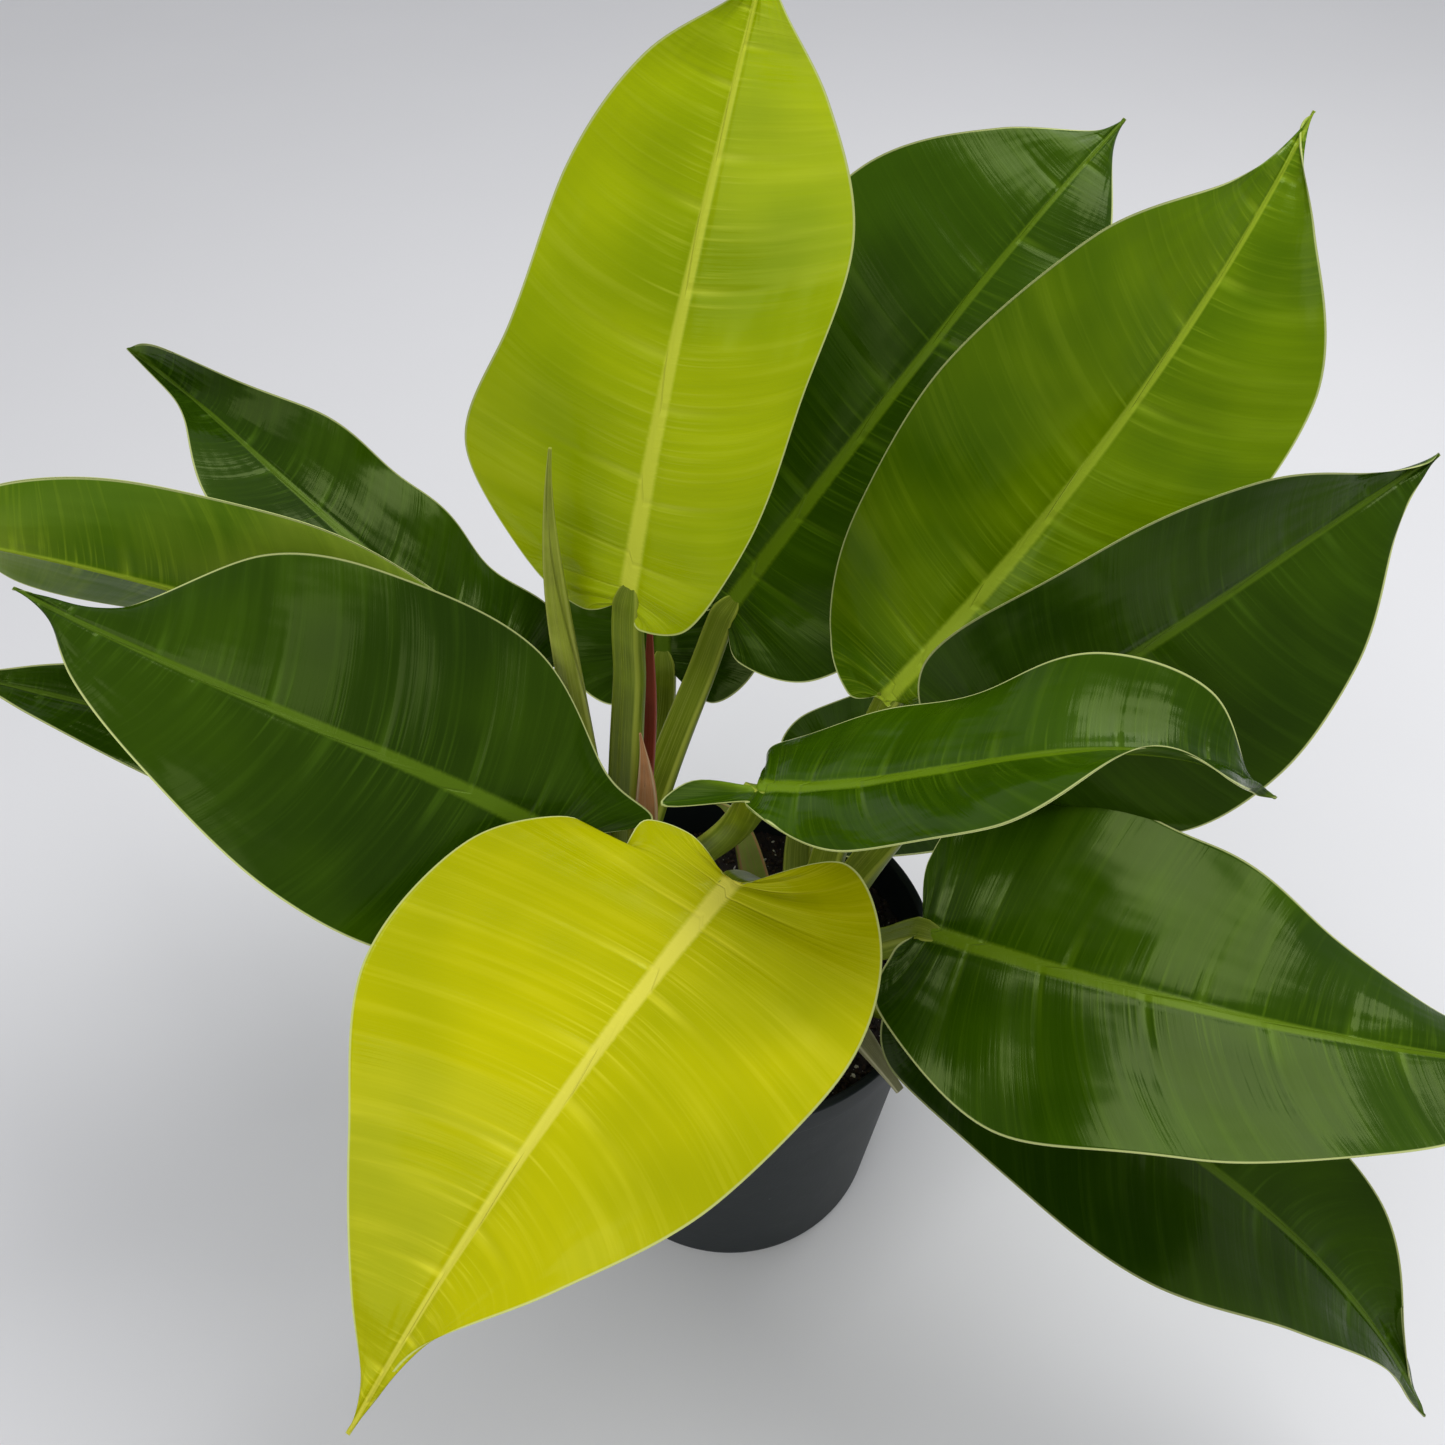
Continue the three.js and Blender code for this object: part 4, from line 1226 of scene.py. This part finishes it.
class PHILODENDRON_OT_crowns(bpy.types.Operator):
    """Finish the two crowns that the leaves grow from"""

    bl_idname = "philodendron.crowns"
    bl_label = "Crowns"

    def execute(self, context):
        finish = crown_finish(settings_of(context))
        for name in CROWNS:
            scaled = [(r * MM, z * MM + MIX_LEVEL) for r, z in CROWN_OUTLINE]
            made = turned(name + "_stem", rounded(scaled, CROWN_EASING), CROWN_SEGMENTS, finish)
            x, y = CROWNS[name]
            for vertex in made.data.vertices:
                vertex.co += Vector((x * MM, y * MM, 0))
            seat(made, "crown", name)
        return {"FINISHED"}


class PHILODENDRON_OT_shoots(bpy.types.Operator):
    """Grow the rolled new leaf and the sheaths"""

    bl_idname = "philodendron.shoots"
    bl_label = "Shoots and Sheaths"

    def execute(self, context):
        settings = settings_of(context)
        colours = settings.colours
        finishes = {
            "rolled_leaf": stalk_finish(
                "rolled_leaf_skin", list(colours.shoot), display(190, 196, 96),
                foot_colour=display(188, 164, 112), seam=True,
            ),
            "maroon_sheath": stalk_finish("maroon_skin", list(colours.maroon), display(150, 74, 60)),
            "dry_sheath": stalk_finish("dry_skin", list(colours.tan), display(206, 184, 150), dry=1.0),
            "pale_sheath": stalk_finish(
                "pale_skin", display(150, 148, 112), display(196, 192, 160), dry=0.6
            ),
            "hooked_sheath": stalk_finish("hooked_skin", display(112, 128, 52), display(140, 92, 66)),
            "petiole": stalk_finish("sheath_skin", display(128, 136, 92), display(186, 188, 144)),
        }
        tree = stalk_tree()
        for name, shoot in SHOOTS.items():
            made = build_shoot(tree, name + "_shoot", shoot, settings, finishes[shoot["finish"]])
            seat(made, shoot["slot"], name)
        return {"FINISHED"}


class PHILODENDRON_OT_leaves(bpy.types.Operator):
    """Grow every leaf: its blade and the petiole that carries it"""

    bl_idname = "philodendron.leaves"
    bl_label = "Leaves"

    def execute(self, context):
        settings = settings_of(context)
        colours = settings.colours
        skin = stalk_finish("petiole_skin", list(colours.petiole), list(colours.petiole_edge))
        finishes = {tone: leaf_finishes(tone, settings) for tone in TONES}
        tree = stalk_tree()
        for name, leaf in LEAVES.items():
            form = LeafForm(leaf)
            tone = leaf["tone"]
            made = build_blade(name + "_leaf", leaf, form, settings, finishes[tone])
            seat(made, LEAF_SLOTS[tone], name + "_blade")
            stalk = build_petiole(tree, name + "_stalk", leaf, form, settings, skin)
            seat(stalk, "petiole", name + "_petiole")
        return {"FINISHED"}


class PHILODENDRON_OT_stage(bpy.types.Operator):
    """Set the pale floor, the soft light and the camera"""

    bl_idname = "philodendron.stage"
    bl_label = "Stage"

    def execute(self, context):
        settings = settings_of(context)
        floor = mesh_object(
            "floor", [(x * FLOOR_REACH, y * FLOOR_REACH, 0) for x, y in ((-1, -1), (1, -1), (1, 1), (-1, 1))],
            [(0, 1, 2, 3)], [floor_finish(settings)],
        )
        for name, where, towards, size, part in LIGHTS:
            add_area_light(name, where, towards, size, settings.stage.window * part)
        world = bpy.data.worlds.new("soft_room")
        world.use_nodes = True
        background = world.node_tree.nodes["Background"]
        background.inputs["Color"].default_value = SKY
        background.inputs["Strength"].default_value = settings.stage.fill
        context.scene.world = world
        context.scene.view_settings.view_transform = "Standard"
        data = bpy.data.cameras.new("camera")
        data.sensor_width = CAMERA_SENSOR
        data.lens = CAMERA_LENS
        camera = bpy.data.objects.new("camera", data)
        camera.location = CAMERA_PLACE
        camera.rotation_euler = (CAMERA_TILT, 0, 0)
        context.scene.collection.objects.link(camera)
        context.scene.camera = camera
        return {"FINISHED"}


def add_area_light(name, where, towards, size, power):
    data = bpy.data.lights.new(name, "AREA")
    data.shape = "SQUARE"
    data.size = size
    data.energy = power
    made = bpy.data.objects.new(name, data)
    made.location = where
    made.rotation_euler = (Vector(towards) - Vector(where)).to_track_quat("-Z", "Y").to_euler()
    bpy.context.scene.collection.objects.link(made)
    return made


class PHILODENDRON_PT_panel(bpy.types.Panel):
    """Lists the steps that build the plant"""

    bl_idname = "PHILODENDRON_PT_panel"
    bl_label = "Potted Philodendron"
    bl_space_type = "VIEW_3D"
    bl_region_type = "UI"
    bl_category = "Plant"

    def draw(self, context):
        settings = settings_of(context)
        for group in ("leaf", "stalk", "pot", "mix", "colours", "stage"):
            box = self.layout.box()
            box.label(text=group.title())
            values = getattr(settings, group)
            for prop in values.bl_rna.properties:
                if prop.identifier not in ("rna_type", "name"):
                    box.prop(values, prop.identifier)
        for step in STEPS:
            self.layout.operator(step.bl_idname)


GROUPS = (
    PhilodendronLeafSizes,
    PhilodendronStalkSizes,
    PhilodendronPotSizes,
    PhilodendronMixSizes,
    PhilodendronColours,
    PhilodendronStage,
    PhilodendronSettings,
)
STEPS = (
    PHILODENDRON_OT_stage,
    PHILODENDRON_OT_pot,
    PHILODENDRON_OT_mix,
    PHILODENDRON_OT_crowns,
    PHILODENDRON_OT_shoots,
    PHILODENDRON_OT_leaves,
)


def register():
    for cls in (*GROUPS, *STEPS, PHILODENDRON_PT_panel):
        bpy.utils.register_class(cls)
    bpy.types.Scene.philodendron = PointerProperty(type=PhilodendronSettings)


def unregister():
    del bpy.types.Scene.philodendron
    for cls in reversed((*GROUPS, *STEPS, PHILODENDRON_PT_panel)):
        bpy.utils.unregister_class(cls)


def main():
    register()
    for step in STEPS:
        family, name = step.bl_idname.split(".")
        getattr(getattr(bpy.ops, family), name)()
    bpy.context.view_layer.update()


if __name__ == "__main__":
    main()
